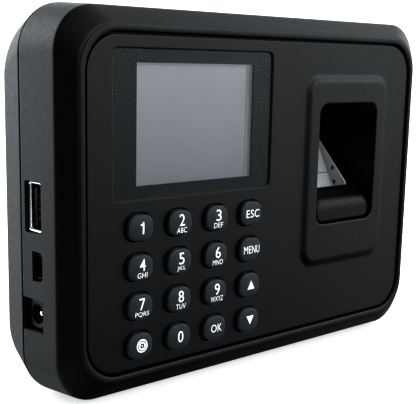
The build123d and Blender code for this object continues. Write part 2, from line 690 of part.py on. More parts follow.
with BuildPart() as sensor_bracket:
    for cheek_x in (READER_X - half_glass - CHEEK_T, READER_X + half_glass):
        with BuildSketch(section(cheek_x)):
            Polygon(
                CHEEK_TIP,
                CHEEK_TOP,
                (GLASS_HEAD[0] + 0.2, GLASS_HEAD[1]),
                (GLASS_REAR, GLASS_HEAD[1]),
                (GLASS_REAR, cavity_floor),
                (CHEEK_TIP[0], cavity_floor),
                align=None,
            )
            with Locations((18.4, 4.2), (19.6, -1.2)):
                Circle(0.7, mode=Mode.SUBTRACT)
        extrude(amount=-CHEEK_T)
    with BuildSketch(layer(GLASS_REAR)):
        with Locations((READER_X, (cavity_floor + GLASS_FOOT[1]) / 2)):
            Rectangle(GLASS_W + 2 * CHEEK_T, GLASS_FOOT[1] - cavity_floor)
    extrude(amount=CHEEK_TIP[0] - GLASS_REAR)
save(sensor_bracket, "sensor_bracket")

with BuildPart() as sensor_board:
    with BuildSketch(layer(CAVITY_BACK - HOUSING_T)):
        with Locations((READER_X, MOUTH_Z - EYE_DROP)):
            Rectangle(*SENSOR_BOARD)
    extrude(amount=-BOARD_T)
save(sensor_board, "sensor_board")

with BuildPart() as sensor_camera:
    with BuildSketch(layer(CAVITY_BACK - HOUSING_T)):
        with Locations((READER_X, MOUTH_Z - 8)):
            Circle(3.4)
    extrude(amount=HOUSING_T + 0.5)
save(sensor_camera, "sensor_camera")

with BuildPart() as sensor_leds:
    with BuildSketch(layer(CAVITY_BACK - HOUSING_T)):
        with Locations((READER_X, MOUTH_Z)):
            with GridLocations(5.0, 3.0, 3, 1):
                Rectangle(2.0, 1.4)
    extrude(amount=1.1)
save(sensor_leds, "sensor_leds")

ribbon_rear = CAVITY_BACK - HOUSING_T - BOARD_T - 0.4
with BuildPart() as sensor_ribbon:
    # flat cable: off the sensor board, forward beside the housing, and onto the main board
    with BuildSketch(Plane.XY.offset(MOUTH_Z - 12)):
        Polygon(
            (30.0, -ribbon_rear),
            (18.6, -ribbon_rear),
            (18.6, -BOARD_REAR + 0.4),
            (8.0, -BOARD_REAR + 0.4),
            (8.0, -BOARD_REAR),
            (19.0, -BOARD_REAR),
            (19.0, -ribbon_rear - 0.4),
            (30.0, -ribbon_rear - 0.4),
            align=None,
        )
    extrude(amount=9.0)
save(sensor_ribbon, "sensor_ribbon")

# ================================================================ speaker and screws
with BuildPart() as speaker:
    with BuildSketch(layer(WALL)):
        with Locations((SPEAKER_X, SPEAKER_Z)):
            Circle(SPEAKER_R)
    extrude(amount=SPEAKER_T - MAGNET_T)
    with BuildSketch(layer(WALL + SPEAKER_T - MAGNET_T)):
        with Locations((SPEAKER_X, SPEAKER_Z)):
            Circle(MAGNET_R)
    extrude(amount=MAGNET_T)
save(speaker, "speaker")

with BuildPart() as case_screws:
    with BuildSketch(layer(COVER_BORE_T)):
        with Locations(*CORNERS):
            Circle(SCREW_HEAD_R)
    extrude(amount=-SCREW_HEAD_T)
    fillet(case_screws.faces().sort_by(Axis.Y)[-4:].edges(), radius=0.6)
    with BuildSketch(layer(COVER_BORE_T)):
        with Locations(*CORNERS):
            Circle(SCREW_R - THREAD_FIT)
    extrude(amount=SCREW_L)
save(case_screws, "case_screws")

with BuildPart() as board_screws:
    with BuildSketch(layer(BOARD_REAR)):
        with Locations(*POSTS):
            Circle(POST_HEAD_R)
    extrude(amount=-POST_HEAD_T)
    with BuildSketch(layer(BOARD_REAR)):
        with Locations(*POSTS):
            Circle(POST_BORE_R - THREAD_FIT)
    extrude(amount=POST_BORE)
save(board_screws, "board_screws")

with BuildPart() as reader_screws:
    with BuildSketch(layer(PANEL_REAR - HOUSING_T)):
        with Locations((READER_X, MOUTH_Z)):
            with GridLocations(*READER_SCREWS, 2, 2):
                Circle(2 * READER_SCREW_R)
    extrude(amount=-READER_HEAD_T)
    with BuildSketch(layer(PANEL_REAR - HOUSING_T)):
        with Locations((READER_X, MOUTH_Z)):
            with GridLocations(*READER_SCREWS, 2, 2):
                Circle(READER_SCREW_R)
    extrude(amount=HOUSING_T + PIN_L)
save(reader_screws, "reader_screws")
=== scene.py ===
import json
import math

import bmesh
import bpy
from mathutils import Matrix, Vector
from mathutils.geometry import delaunay_2d_cdt


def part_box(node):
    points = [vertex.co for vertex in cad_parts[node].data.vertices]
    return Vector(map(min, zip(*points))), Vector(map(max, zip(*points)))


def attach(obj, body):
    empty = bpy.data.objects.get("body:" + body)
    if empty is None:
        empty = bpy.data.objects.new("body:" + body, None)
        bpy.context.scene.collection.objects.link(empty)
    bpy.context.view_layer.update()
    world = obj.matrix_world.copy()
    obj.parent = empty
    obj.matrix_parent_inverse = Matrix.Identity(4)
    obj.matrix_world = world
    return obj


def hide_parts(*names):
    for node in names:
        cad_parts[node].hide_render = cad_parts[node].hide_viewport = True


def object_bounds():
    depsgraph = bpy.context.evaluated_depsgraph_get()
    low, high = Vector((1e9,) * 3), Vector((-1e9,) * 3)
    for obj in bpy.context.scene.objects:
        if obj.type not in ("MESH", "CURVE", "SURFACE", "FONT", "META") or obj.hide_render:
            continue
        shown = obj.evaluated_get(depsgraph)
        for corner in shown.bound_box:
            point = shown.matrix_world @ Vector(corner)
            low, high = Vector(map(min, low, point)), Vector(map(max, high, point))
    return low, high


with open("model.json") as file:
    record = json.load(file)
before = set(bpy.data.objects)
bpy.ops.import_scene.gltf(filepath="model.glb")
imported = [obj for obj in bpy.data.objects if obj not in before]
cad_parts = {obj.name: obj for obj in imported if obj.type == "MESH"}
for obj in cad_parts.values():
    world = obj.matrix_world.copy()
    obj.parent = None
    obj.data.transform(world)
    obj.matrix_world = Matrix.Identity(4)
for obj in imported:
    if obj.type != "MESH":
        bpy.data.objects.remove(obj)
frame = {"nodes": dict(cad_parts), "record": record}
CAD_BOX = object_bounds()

# Lengths below are in millimetres, and a point is (x, depth, z), where depth is
# the distance in front of the wall. Meshes are written in metres.
MM = 0.001
WELD, SLIVER = 1e-7, 1e-8       # metres: points nearer than this are one, edges shorter are dropped


def span(node):
    """Box of a CAD node in millimetres: x, depth and z, each as (low, high)."""
    low, high = (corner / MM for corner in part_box(node))
    return (low.x, high.x), (-high.y, -low.y), (low.z, high.z)


def middle(pair):
    return (pair[0] + pair[1]) / 2


# ------------------------------------------------------------------ mesh code
class Shape:
    """Closed mesh grown from loops of points."""

    def __init__(self):
        self.points = []
        self.faces = []

    def loop(self, points):
        first = len(self.points)
        self.points += points
        return list(range(first, len(self.points)))

    def bridge(self, one, two):
        count = len(one)
        for i in range(count):
            j = (i + 1) % count
            self.faces.append((one[i], one[j], two[j], two[i]))

    def stack(self, loops):
        """Skins a row of loops that all have the same number of points."""
        rows = [self.loop(points) for points in loops]
        for one, two in zip(rows, rows[1:]):
            self.bridge(one, two)
        return rows

    def cap(self, row):
        self.faces.append(tuple(row))

    def solid(self, loops):
        """Skins a row of loops and closes both of its ends."""
        rows = self.stack(loops)
        self.cap(rows[0])
        self.cap(rows[-1])

    def fill(self, outline, holes, axes=(0, 2)):
        """Flat face between an outline and the holes in it."""
        rows = [outline, *holes]
        order = [i for row in rows for i in row]
        a, b = axes
        rings = [[Vector((self.points[i][a], self.points[i][b])) for i in row] for row in rows]
        edges = []
        for row in rows:
            first, count = len(edges), len(row)
            edges += [(first + k, first + (k + 1) % count) for k in range(count)]
        flat = [spot for ring in rings for spot in ring]
        spots, _, faces, sources, *_ = delaunay_2d_cdt(flat, edges, [], 0, 1e-6)
        for face in faces:
            centre = sum((spots[i] for i in face), Vector((0, 0))) / len(face)
            if inside(centre, rings[0]) and not any(inside(centre, ring) for ring in rings[1:]):
                self.faces.append(tuple(order[sources[i][0]] for i in face))

    def mesh(self, name):
        data = bpy.data.meshes.new(name)
        data.from_pydata([(x * MM, -depth * MM, z * MM) for x, depth, z in self.points], [], self.faces)
        return tidy_mesh(data)


def inside(point, ring):
    """True if a 2D point is inside a closed ring of 2D points."""
    hit = False
    last = ring[-1]
    for here in ring:
        if (here.y > point.y) != (last.y > point.y):
            if point.x < (last.x - here.x) * (point.y - here.y) / (last.y - here.y) + here.x:
                hit = not hit
        last = here
    return hit


def tidy_mesh(data):
    work = bmesh.new()
    work.from_mesh(data)
    bmesh.ops.remove_doubles(work, verts=work.verts, dist=WELD)
    bmesh.ops.dissolve_degenerate(work, edges=work.edges, dist=SLIVER)
    bmesh.ops.recalc_face_normals(work, faces=work.faces)
    work.to_mesh(data)
    work.free()
    return data


def rounded(w, h, r, depth, x=0.0, z=0.0, arc=8):
    """Rounded rectangle that faces the viewer, as one loop."""
    points = []
    for quarter, (sx, sz) in enumerate(((1, 1), (-1, 1), (-1, -1), (1, -1))):
        for k in range(arc + 1):
            turn = math.radians(90 * (quarter + k / arc))
            points.append((
                x + sx * (w / 2 - r) + r * math.cos(turn),
                depth,
                z + sz * (h / 2 - r) + r * math.sin(turn),
            ))
    return points


def slotted(w, h, r, x, depth, z, arc=6):
    """Rounded rectangle that faces left: w runs along the depth and h up."""
    return [(x, depth + a, z + b) for a, _, b in rounded(w, h, r, 0, arc=arc)]


def circle(r, depth, x=0.0, z=0.0, count=32):
    return [
        (x + r * math.cos(2 * math.pi * k / count), depth, z + r * math.sin(2 * math.pi * k / count))
        for k in range(count)
    ]


def side_circle(r, x, depth, z, count=32):
    return [(x, depth + a, z + b) for a, _, b in circle(r, 0, count=count)]


def grown(w, h, r, profile, x=0.0, z=0.0, arc=8):
    """Loops for a profile of (outward growth, depth) round a rounded rectangle."""
    return [
        rounded(w + 2 * out, h + 2 * out, max(r + out, 0.05), depth, x, z, arc)
        for out, depth in profile
    ]


# ------------------------------------------------------------------ materials
class Nodes:
    """Short way to build one Principled material in object coordinates."""

    def __init__(self, name):
        self.material = bpy.data.materials.new(name)
        self.material.use_nodes = True
        self.tree = self.material.node_tree
        self.shader = self.tree.nodes["Principled BSDF"]
        self.place = self.tree.nodes.new("ShaderNodeTexCoord").outputs["Object"]

    def link(self, a, b):
        self.tree.links.new(a, b)

    def set(self, **values):
        for key, value in values.items():
            self.shader.inputs[key.replace("_", " ")].default_value = value

    def stretch(self, scale):
        node = self.tree.nodes.new("ShaderNodeMapping")
        node.inputs["Scale"].default_value = scale
        self.link(self.place, node.inputs["Vector"])
        return node.outputs["Vector"]

    def axes(self):
        node = self.tree.nodes.new("ShaderNodeSeparateXYZ")
        self.link(self.place, node.inputs[0])
        return node.outputs

    def noise(self, scale, detail=2.0, rough=0.5, vector=None):
        node = self.tree.nodes.new("ShaderNodeTexNoise")
        node.inputs["Scale"].default_value = scale
        node.inputs["Detail"].default_value = detail
        node.inputs["Roughness"].default_value = rough
        self.link(vector or self.place, node.inputs["Vector"])
        return node.outputs["Fac"]

    def cells(self, scale, feature="F1", vector=None):
        node = self.tree.nodes.new("ShaderNodeTexVoronoi")
        node.feature = feature
        node.inputs["Scale"].default_value = scale
        self.link(vector or self.place, node.inputs["Vector"])
        return node.outputs["Distance"]

    def wave(self, scale, distortion=0.0, direction="X", vector=None):
        node = self.tree.nodes.new("ShaderNodeTexWave")
        node.bands_direction = direction
        node.inputs["Scale"].default_value = scale
        node.inputs["Distortion"].default_value = distortion
        self.link(vector or self.place, node.inputs["Vector"])
        return node.outputs["Fac"]

    def remap(self, value, low, high, start=0.3, end=0.7):
        node = self.tree.nodes.new("ShaderNodeMapRange")
        node.inputs["From Min"].default_value = start
        node.inputs["From Max"].default_value = end
        node.inputs["To Min"].default_value = low
        node.inputs["To Max"].default_value = high
        self.link(value, node.inputs["Value"])
        return node.outputs["Result"]

    def blend(self, factor, one, two):
        node = self.tree.nodes.new("ShaderNodeMix")
        node.data_type = "RGBA"
        self.link(factor, node.inputs["Factor"])
        for value, socket in ((one, node.inputs["A"]), (two, node.inputs["B"])):
            if isinstance(value, tuple):
                socket.default_value = (*value, 1)
            else:
                self.link(value, socket)
        return node.outputs["Result"]

    def colour(self, socket):
        self.link(socket, self.shader.inputs["Base Color"])

    def roughness(self, socket):
        self.link(socket, self.shader.inputs["Roughness"])

    def bump(self, *layers):
        """Each layer is (height, strength, distance in metres)."""
        last = None
        for height, strength, distance in layers:
            node = self.tree.nodes.new("ShaderNodeBump")
            node.inputs["Strength"].default_value = strength
            node.inputs["Distance"].default_value = distance
            self.link(height, node.inputs["Height"])
            if last:
                self.link(last, node.inputs["Normal"])
            last = node.outputs["Normal"]
        self.link(last, self.shader.inputs["Normal"])


def moulded(name, dark, light, rough, grain=2600.0, relief=0.00004, strength=0.35, level=0.5, glow=0.0):
    """Injection-moulded plastic with a fine spark-eroded texture."""
    m = Nodes(name)
    fine = m.noise(grain, 3.0, 0.6)
    broad = m.noise(45.0, 3.0, 0.55)
    m.colour(m.blend(m.remap(broad, 0.0, 1.0), dark, light))
    m.roughness(m.remap(m.noise(grain * 0.3, 2.0), rough - 0.04, rough + 0.05))
    m.bump((m.noise(160.0, 2.0), 0.03, 0.0002), (fine, strength, relief))
    m.set(Specular_IOR_Level=level, Emission_Color=(1.0, 1.0, 1.0, 1.0), Emission_Strength=glow)
    return m.material


def rubber(name, dark, light, rough):
    m = Nodes(name)
    m.colour(m.blend(m.remap(m.noise(900.0, 3.0, 0.6), 0.0, 1.0), dark, light))
    m.roughness(m.remap(m.noise(500.0, 2.0), rough - 0.05, rough + 0.06))
    m.bump((m.noise(2400.0, 2.0, 0.6), 0.25, 0.00003))
    m.set(Specular_IOR_Level=0.45, Sheen_Weight=0.12, Sheen_Roughness=0.4)
    return m.material


def metal(name, dark, light, rough, brushed=(900.0, 900.0, 60.0)):
    m = Nodes(name)
    streaks = m.noise(1.0, 4.0, 0.6, m.stretch(brushed))
    m.colour(m.blend(m.remap(streaks, 0.0, 1.0), dark, light))
    m.roughness(m.remap(streaks, rough - 0.08, rough + 0.1))
    m.bump((streaks, 0.12, 0.00002))
    m.set(Metallic=1.0)
    return m.material


def printed(name, colour, edge, glow=0.0):
    """Screen-printed ink: slightly uneven cover with a dry surface."""
    m = Nodes(name)
    m.colour(m.blend(m.remap(m.noise(1600.0, 4.0, 0.7), 0.0, 1.0, 0.3, 0.6), edge, colour))
    m.roughness(m.remap(m.noise(1200.0), 0.45, 0.62))
    m.bump((m.noise(3000.0, 2.0), 0.2, 0.00001))
    m.set(Emission_Color=(1.0, 1.0, 1.0, 1.0), Emission_Strength=glow)
    return m.material


# Heights in metres between which a material changes from one colour to another.
# Painted shade: the screen's colour and glow darken between these heights towards its lower edge.
SCREEN_SHADE_FADE = (0.006, 0.044)
MASK_FOOT = (0.0136, 0.0138)
SEAM_TOP, SEAM_FOOT = (0.00250, 0.00255), (0.00215, 0.00220)
# Black of the sensor glass's mask, also used as painted shade on its right edge.
BLACK_MASK_AND_SHADE = (0.003, 0.003, 0.003)


def liquid_crystal():
    """Grey screen with a fine pixel grid; though unlit, it glows with painted light and is darker towards
    its lower edge as painted shade.
    """
    m = Nodes("screen_crystal")
    rows = m.remap(m.wave(620.0, 0.0, "Z"), 0.0, 1.0, 0.0, 0.4)
    columns = m.remap(m.wave(620.0, 0.0, "X"), 0.0, 1.0, 0.0, 0.4)
    gap, cell = (0.225, 0.215, 0.222), (0.285, 0.275, 0.282)
    grid = m.blend(columns, gap, m.blend(rows, gap, cell))
    tone = m.blend(m.remap(m.noise(28.0, 2.0), 0.0, 1.0), grid, (0.262, 0.252, 0.259))
    shade_fade = m.remap(m.axes()["Z"], 1.0, 0.0, *SCREEN_SHADE_FADE)
    m.colour(m.blend(shade_fade, tone, (0.16, 0.16, 0.167)))
    # Painted light: the unlit screen glows, brighter at its top than at its foot.
    m.link(m.blend(shade_fade, (0.50, 0.51, 0.54), (0.345, 0.36, 0.385)), m.shader.inputs["Emission Color"])
    m.set(Emission_Strength=0.235)
    m.roughness(m.remap(m.noise(3000.0), 0.42, 0.55))
    m.bump((m.noise(4200.0), 0.12, 0.00001))
    m.set(Specular_IOR_Level=0.5)
    return m.material


def clear_plastic():
    """Clear window of the display, with hardly any gloss of its own."""
    m = Nodes("screen_clear")
    m.colour(m.blend(m.remap(m.noise(60.0), 0.0, 1.0), (0.93, 0.95, 0.96), (0.97, 0.98, 0.98)))
    m.roughness(m.remap(m.noise(700.0, 3.0), 0.0, 0.01))
    m.bump((m.noise(90.0), 0.01, 0.0001))
    m.set(Transmission_Weight=1.0, IOR=1.15)
    return m.material


def coated_glass():
    """Sensor glass: silver white with a faint painted glow, a black mask on its upper part, a black right
    edge as painted shade, and one thin seam.
    """
    m = Nodes("sensor_glass")
    place = m.axes()
    top = m.remap(place["Z"], 0.0, 1.0, *MASK_FOOT)
    edge = span("sensor_prism")[0][1]
    # Painted shade: the glass's right edge is black, so that the holes in the bracket's cheeks look dark.
    side = m.remap(place["X"], 0.0, 1.0, (edge - 0.2) * MM, (edge - 0.15) * MM)
    silver = m.blend(m.remap(m.noise(70.0, 2.0), 0.0, 1.0), (0.56, 0.58, 0.61), (0.64, 0.66, 0.69))
    seam = m.remap(place["Z"], 1.0, 0.0, *SEAM_TOP)
    seam_end = m.remap(place["Z"], 1.0, 0.0, *SEAM_FOOT)
    ruled = m.blend(seam_end, m.blend(seam, silver, (0.12, 0.12, 0.14)), silver)
    m.colour(m.blend(side, m.blend(top, ruled, BLACK_MASK_AND_SHADE), BLACK_MASK_AND_SHADE))
    # Painted light: the glass glows faintly wherever it is not black.
    painted_glow = m.blend(side, m.blend(top, (1.0, 1.0, 1.0), BLACK_MASK_AND_SHADE), BLACK_MASK_AND_SHADE)
    m.link(painted_glow, m.shader.inputs["Emission Color"])
    m.roughness(m.remap(m.noise(800.0), 0.30, 0.38))
    m.bump((m.noise(900.0), 0.03, 0.00001))
    m.set(Emission_Strength=0.04, Specular_IOR_Level=0.5)
    return m.material


def circuit_board():
    m = Nodes("circuit_board")
    tracks = m.cells(260.0, "DISTANCE_TO_EDGE")
    copper = m.remap(tracks, 1.0, 0.0, 0.02, 0.05)
    base = m.blend(m.remap(m.noise(40.0), 0.0, 1.0), (0.008, 0.06, 0.022), (0.012, 0.08, 0.03))
    m.colour(m.blend(copper, base, (0.03, 0.16, 0.06)))
    m.roughness(m.remap(m.noise(600.0), 0.3, 0.42))
    m.bump((copper, 0.5, 0.00004))
    return m.material


def flexible_circuit():
    m = Nodes("flexible_circuit")
    lines = m.remap(m.wave(420.0, 0.0, "X"), 0.0, 1.0, 0.45, 0.55)
    m.colour(m.blend(lines, (0.36, 0.14, 0.02), (0.52, 0.24, 0.05)))
    m.roughness(m.remap(m.noise(500.0), 0.3, 0.45))
    m.bump((lines, 0.4, 0.00003))
    return m.material


CASE_TONES = (0.0052, 0.0056, 0.0062), (0.0068, 0.0072, 0.0078)
CASE = moulded("case_black", *CASE_TONES, 0.46)
REAR = moulded("rear_black", *CASE_TONES, 0.46, level=0.40)
PANEL = moulded("panel_black", (0.0056, 0.0060, 0.0068), (0.0072, 0.0076, 0.0084), 0.44, grain=3000.0)
READER = moulded("reader_black", (0.0030, 0.0031, 0.0034), (0.0045, 0.0046, 0.0050), 0.5, strength=0.2)
REST = moulded("rest_black", (0.0060, 0.0062, 0.0066), (0.0085, 0.0087, 0.0092), 0.46,
               strength=0.25, level=0.38)
BLACK = moulded("socket_black", (0.0045, 0.0050, 0.0050), (0.0070, 0.0076, 0.0076), 0.34,
                strength=0.2, level=0.22)
CREAM = moulded("socket_cream", (0.56, 0.53, 0.44), (0.66, 0.63, 0.54), 0.4, strength=0.15)
BROWN = moulded("socket_brown", (0.030, 0.012, 0.008), (0.045, 0.018, 0.012), 0.35, strength=0.15)
WHITE = moulded("white_moulding", (0.66, 0.66, 0.64), (0.74, 0.74, 0.72), 0.45, strength=0.2)
CHIP = moulded("chip_black", (0.010, 0.010, 0.011), (0.016, 0.016, 0.017), 0.5, strength=0.3)
TAPE = moulded("foam_tape", (0.008, 0.008, 0.008), (0.014, 0.014, 0.014), 0.8, grain=1500.0, strength=0.6)
FILM = moulded("lens_print", (0.0050, 0.0054, 0.0062), (0.0070, 0.0075, 0.0084), 0.45, strength=0.1)
LAMP = moulded("sensor_lamp", (0.62, 0.66, 0.70), (0.70, 0.74, 0.78), 0.2, strength=0.1)
KEY = rubber("key_rubber", (0.040, 0.047, 0.053), (0.052, 0.059, 0.065), 0.5)
MAT = rubber("mat_rubber", (0.040, 0.040, 0.044), (0.055, 0.055, 0.060), 0.6)
CARBON = rubber("carbon_pad", (0.006, 0.006, 0.006), (0.012, 0.012, 0.012), 0.7)
STEEL = metal("plated_steel", (0.50, 0.51, 0.52), (0.66, 0.67, 0.68), 0.28)
BRIGHT = metal("bright_nickel", (0.78, 0.79, 0.80), (0.90, 0.90, 0.90), 0.18)
# Painted shade: the contacts' gold is darkened to the shade inside the socket.
SHADED_GOLD = metal("gold_contact", (0.22, 0.17, 0.08), (0.30, 0.24, 0.12), 0.3)
# Painted shade: the mini USB shell is near black-brown, so the socket's mouth shows no bright rim.
SHADED_TIN = metal("shaded_tin", (0.020, 0.013, 0.011), (0.034, 0.022, 0.018), 0.5)
ZINC = metal("black_zinc", (0.10, 0.10, 0.11), (0.16, 0.16, 0.17), 0.34)
# Painted light: the sensor bracket glows faintly to look lit.
PAINTED = moulded("painted_bracket", (0.62, 0.63, 0.60), (0.68, 0.69, 0.66), 0.4, strength=0.1, glow=0.02)
# Painted light: the frame round the screen glows to look lit.
BEZEL = moulded("screen_frame", (0.22, 0.22, 0.225), (0.26, 0.26, 0.265), 0.5, strength=0.1, glow=0.075)
# Painted light: the white ink of the key legends glows, so it stays bright under any light.
INK = printed("white_ink", (0.90, 0.91, 0.92), (0.80, 0.81, 0.83), 0.30)
LABEL = printed("blank_label", (0.30, 0.305, 0.31), (0.26, 0.265, 0.27))
CRYSTAL = liquid_crystal()
CLEAR = clear_plastic()
GLASS = coated_glass()
BOARD = circuit_board()
FLEX = flexible_circuit()

SLOT_MATERIALS = {
    "case_plastic": CASE, "panel_plastic": PANEL, "reader_plastic": READER, "lens": CLEAR, "tape": TAPE,
    "lcd": CRYSTAL, "white_plastic": WHITE, "steel": STEEL, "flex": FLEX, "key_rubber": KEY,
    "mat_rubber": MAT, "carbon": CARBON, "board": BOARD, "chip": CHIP, "socket_plastic": CREAM,
    "black_plastic": BLACK, "pin_metal": BRIGHT, "prism": GLASS, "bracket": PAINTED, "led": LAMP,
}
for row in frame["record"]["subparts"]:
    for holder in frame["nodes"][row["node"]].material_slots:
        holder.material = SLOT_MATERIALS[row["material_slot"]]
for holder in frame["nodes"]["lcd_bezel"].material_slots:
    holder.material = BEZEL


# --------------------------------------------------------------------- pieces
def add(name, shape, material, replaced=(), body="terminal", sharp=34.0):
    """Makes a finished piece from a Shape or a mesh, and ties it to its CAD body."""
    data = shape.mesh(name) if isinstance(shape, Shape) else shape
    data.name = name
    piece = bpy.data.objects.new(name, data)
    bpy.context.scene.collection.objects.link(piece)
    data.materials.clear()
    data.materials.append(material)
    data.shade_smooth()
    data.set_sharp_from_angle(angle=math.radians(sharp))
    if replaced:
        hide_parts(*replaced)
    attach(piece, body)
    return piece


def carve(shape, cutters, name="carved"):
    """Mesh of a shape with closed cutters taken away from it."""
    holder = bpy.data.objects.new(name, shape.mesh(name))
    bpy.context.scene.collection.objects.link(holder)
    tools = []
    for index, cutter in enumerate(cutters):
        tool = bpy.data.objects.new(f"{name}_tool{index}", cutter.mesh(f"{name}_tool{index}"))
        bpy.context.scene.collection.objects.link(tool)
        step = holder.modifiers.new("cut", "BOOLEAN")
        step.operation = "DIFFERENCE"
        step.solver = "EXACT"
        step.object = tool
        tools.append(tool)
    graph = bpy.context.evaluated_depsgraph_get()
    result = bpy.data.meshes.new_from_object(holder.evaluated_get(graph))
    for thing in [holder, *tools]:
        spare = thing.data
        bpy.data.objects.remove(thing)
        bpy.data.meshes.remove(spare)
    work = bmesh.new()
    work.from_mesh(result)
    bmesh.ops.remove_doubles(work, verts=work.verts, dist=2 * WELD)
    bmesh.ops.dissolve_degenerate(work, edges=work.edges, dist=SLIVER)
    work.to_mesh(result)
    work.free()
    return result


# ---- case front: side walls, sloping border, rounded lip, seat and hollow
(_, CASE_X), (SPLIT, LIP_FACE), (_, CASE_Z) = span("front_shell")
PANEL_X, PANEL_DEPTH, PANEL_Z = span("front_panel")
FLARE = 1.2             # growth of the side walls from their front edge to the parting line
CASE_W, CASE_H, CASE_R = 2 * (CASE_X - FLARE), 2 * (CASE_Z - FLARE), 14.0
LIP_OUT, LIP_IN = -5.6, -7.65   # growth at the two edges of the lip round the panel
LIP_R, SEAT_R = 13.0, 11.95     # corner radii at those edges
EDGE = 28.75            # depth where the side walls meet the sloping border
PANEL_REAR, PANEL_FACE = 30.8, 33.0
LEDGE_REAR = 28.2       # rear of the ledge that the panel rests on
OPENING = (148.8, 99.2, 8.0)    # width, height and corner radius of the hole in that ledge


def case_loop(out, depth, arc=18):
    """Loop round the case, `out` beyond its front edge."""
    if out >= 0:
        r = CASE_R + out
    elif out >= LIP_OUT:
        r = CASE_R + (LIP_R - CASE_R) * out / LIP_OUT
    else:
        r = LIP_R + (out - LIP_OUT) * (LIP_R - SEAT_R) / (LIP_OUT - LIP_IN)
    return rounded(CASE_W + 2 * out, CASE_H + 2 * out, r, depth, arc=arc)


front = Shape()
wall_slope = FLARE / (EDGE - SPLIT)
outside = [
    (FLARE - 0.30, SPLIT), (FLARE - 0.09, SPLIT + 0.07), (FLARE - 0.03, SPLIT + 0.28),
    (FLARE - 0.6 * wall_slope - 0.02, SPLIT + 0.6),
    (1.15 * wall_slope, EDGE - 1.15), (0.6 * wall_slope - 0.02, EDGE - 0.6),
    (-0.03, EDGE - 0.28), (-0.17, EDGE - 0.01), (-0.42, EDGE + 0.28),
    (-0.75, EDGE + 0.62), (-1.3, EDGE + 1.14),
    (-3.0, EDGE + 2.72), (-4.6, EDGE + 4.13), (-5.25, EDGE + 4.68), (-5.52, EDGE + 4.72),
    (-5.56, EDGE + 4.80),
    (-5.62, EDGE + 4.90), (-5.76, LIP_FACE - 0.04), (-6.05, LIP_FACE), (-6.5, LIP_FACE - 0.01),
    (-7.1, LIP_FACE - 0.04), (-7.42, LIP_FACE - 0.17), (-7.6, LIP_FACE - 0.42), (LIP_IN, LIP_FACE - 0.8),
    (LIP_IN, PANEL_REAR + 0.1), (LIP_IN - 0.03, PANEL_REAR), (LIP_IN - 0.3, PANEL_REAR),
]
rows = front.stack([case_loop(out, depth) for out, depth in outside])
ledge = front.stack([
    *grown(*OPENING, ((0.3, PANEL_REAR), (0.0, PANEL_REAR), (0.0, LEDGE_REAR), (0.5, LEDGE_REAR)), arc=18),
    case_loop(-3.2, LEDGE_REAR), case_loop(-2.2, LEDGE_REAR), case_loop(-2.2, LEDGE_REAR - 0.4),
    case_loop(-1.02, SPLIT + 0.3), case_loop(-1.0, SPLIT),
])
front.bridge(rows[-1], ledge[0])
front.bridge(ledge[-1], rows[0])

USB_D, USB_Z = middle(span("usb_a_shell")[1]), middle(span("usb_a_shell")[2])
MINI_D, MINI_Z = middle(span("mini_usb_shell")[1]), middle(span("mini_usb_shell")[2])
JACK_D, JACK_Z = middle(span("dc_jack_body")[1]), middle(span("dc_jack_body")[2])
WALL_LEFT = -CASE_X


def port_cutter(loop_at, near=-2.0, far=8.0):
    """Straight cutter with a slightly wider mouth, so that the cut's edge is eased."""
    cutter = Shape()
    cutter.solid([
        loop_at(WALL_LEFT + near, 0.6), loop_at(WALL_LEFT + 0.55, 0.30), loop_at(WALL_LEFT + 0.85, 0.10),
        loop_at(WALL_LEFT + 1.15, 0.0), loop_at(WALL_LEFT + far, 0.0),
    ])
    return cutter


MINI_OUTLINE = [(-2.25, -4.3), (1.1, -4.3), (2.25, -3.3), (2.25, 3.3), (1.1, 4.3), (-2.25, 4.3)]


def mini_loop(x, out, scale=1.0):
    """Mini USB outline, with its two slanted corners towards the front."""
    return [
        (x, MINI_D + a * scale + math.copysign(out, a), MINI_Z + b * scale + math.copysign(out, b))
        for a, b in MINI_OUTLINE
    ]


USB_CUT = (7.5, 15.1)   # depth and height of the cut-out
JACK_CUT_H = 9.7
jack_low, jack_high = SPLIT - 3.0, 22.0
cutters = [
    port_cutter(lambda x, out: slotted(
        USB_CUT[0] + 2 * out, USB_CUT[1] + 2 * out, 0.5 + out, x, USB_D, USB_Z)),
    port_cutter(mini_loop),
    port_cutter(lambda x, out: slotted(
        jack_high - jack_low + 2 * out, JACK_CUT_H + 2 * out, 0.35 + out, x,
        (jack_low + jack_high) / 2, JACK_Z)),
]
add("case_front", carve(front, cutters), CASE, ["front_shell"])

# ---- case rear: tapered pan with keyholes, grilles, bores and label recess
BACK_W, BACK_H, BACK_R = 170.8, 121.2, 23.0
BACK_EDGE = 2.0         # rounding of the edge round the wall face
RIM = SPLIT - 0.5
FLOOR = 2.2             # thickness of the pan's floor
WIDE = (CASE_W + 2 * FLARE, CASE_H + 2 * FLARE, CASE_R + FLARE)
STEP = (CASE_W + 2 * (FLARE - 0.5), CASE_H + 2 * (FLARE - 0.5), CASE_R + FLARE - 0.5)
INSIDE = (CASE_W - 2.0, CASE_H - 2.0, CASE_R - 1.0)
pan = Shape()


def pan_loop(depth, shrink=0.0):
    """Loop round the outside of the rear cover; it tapers, and its corners open out."""
    t = 1 - depth / RIM
    w, h, r = (a + (b - a) * t for a, b in zip(WIDE, (BACK_W, BACK_H, BACK_R)))
    return rounded(w - 2 * shrink, h - 2 * shrink, r - shrink, depth, arc=18)


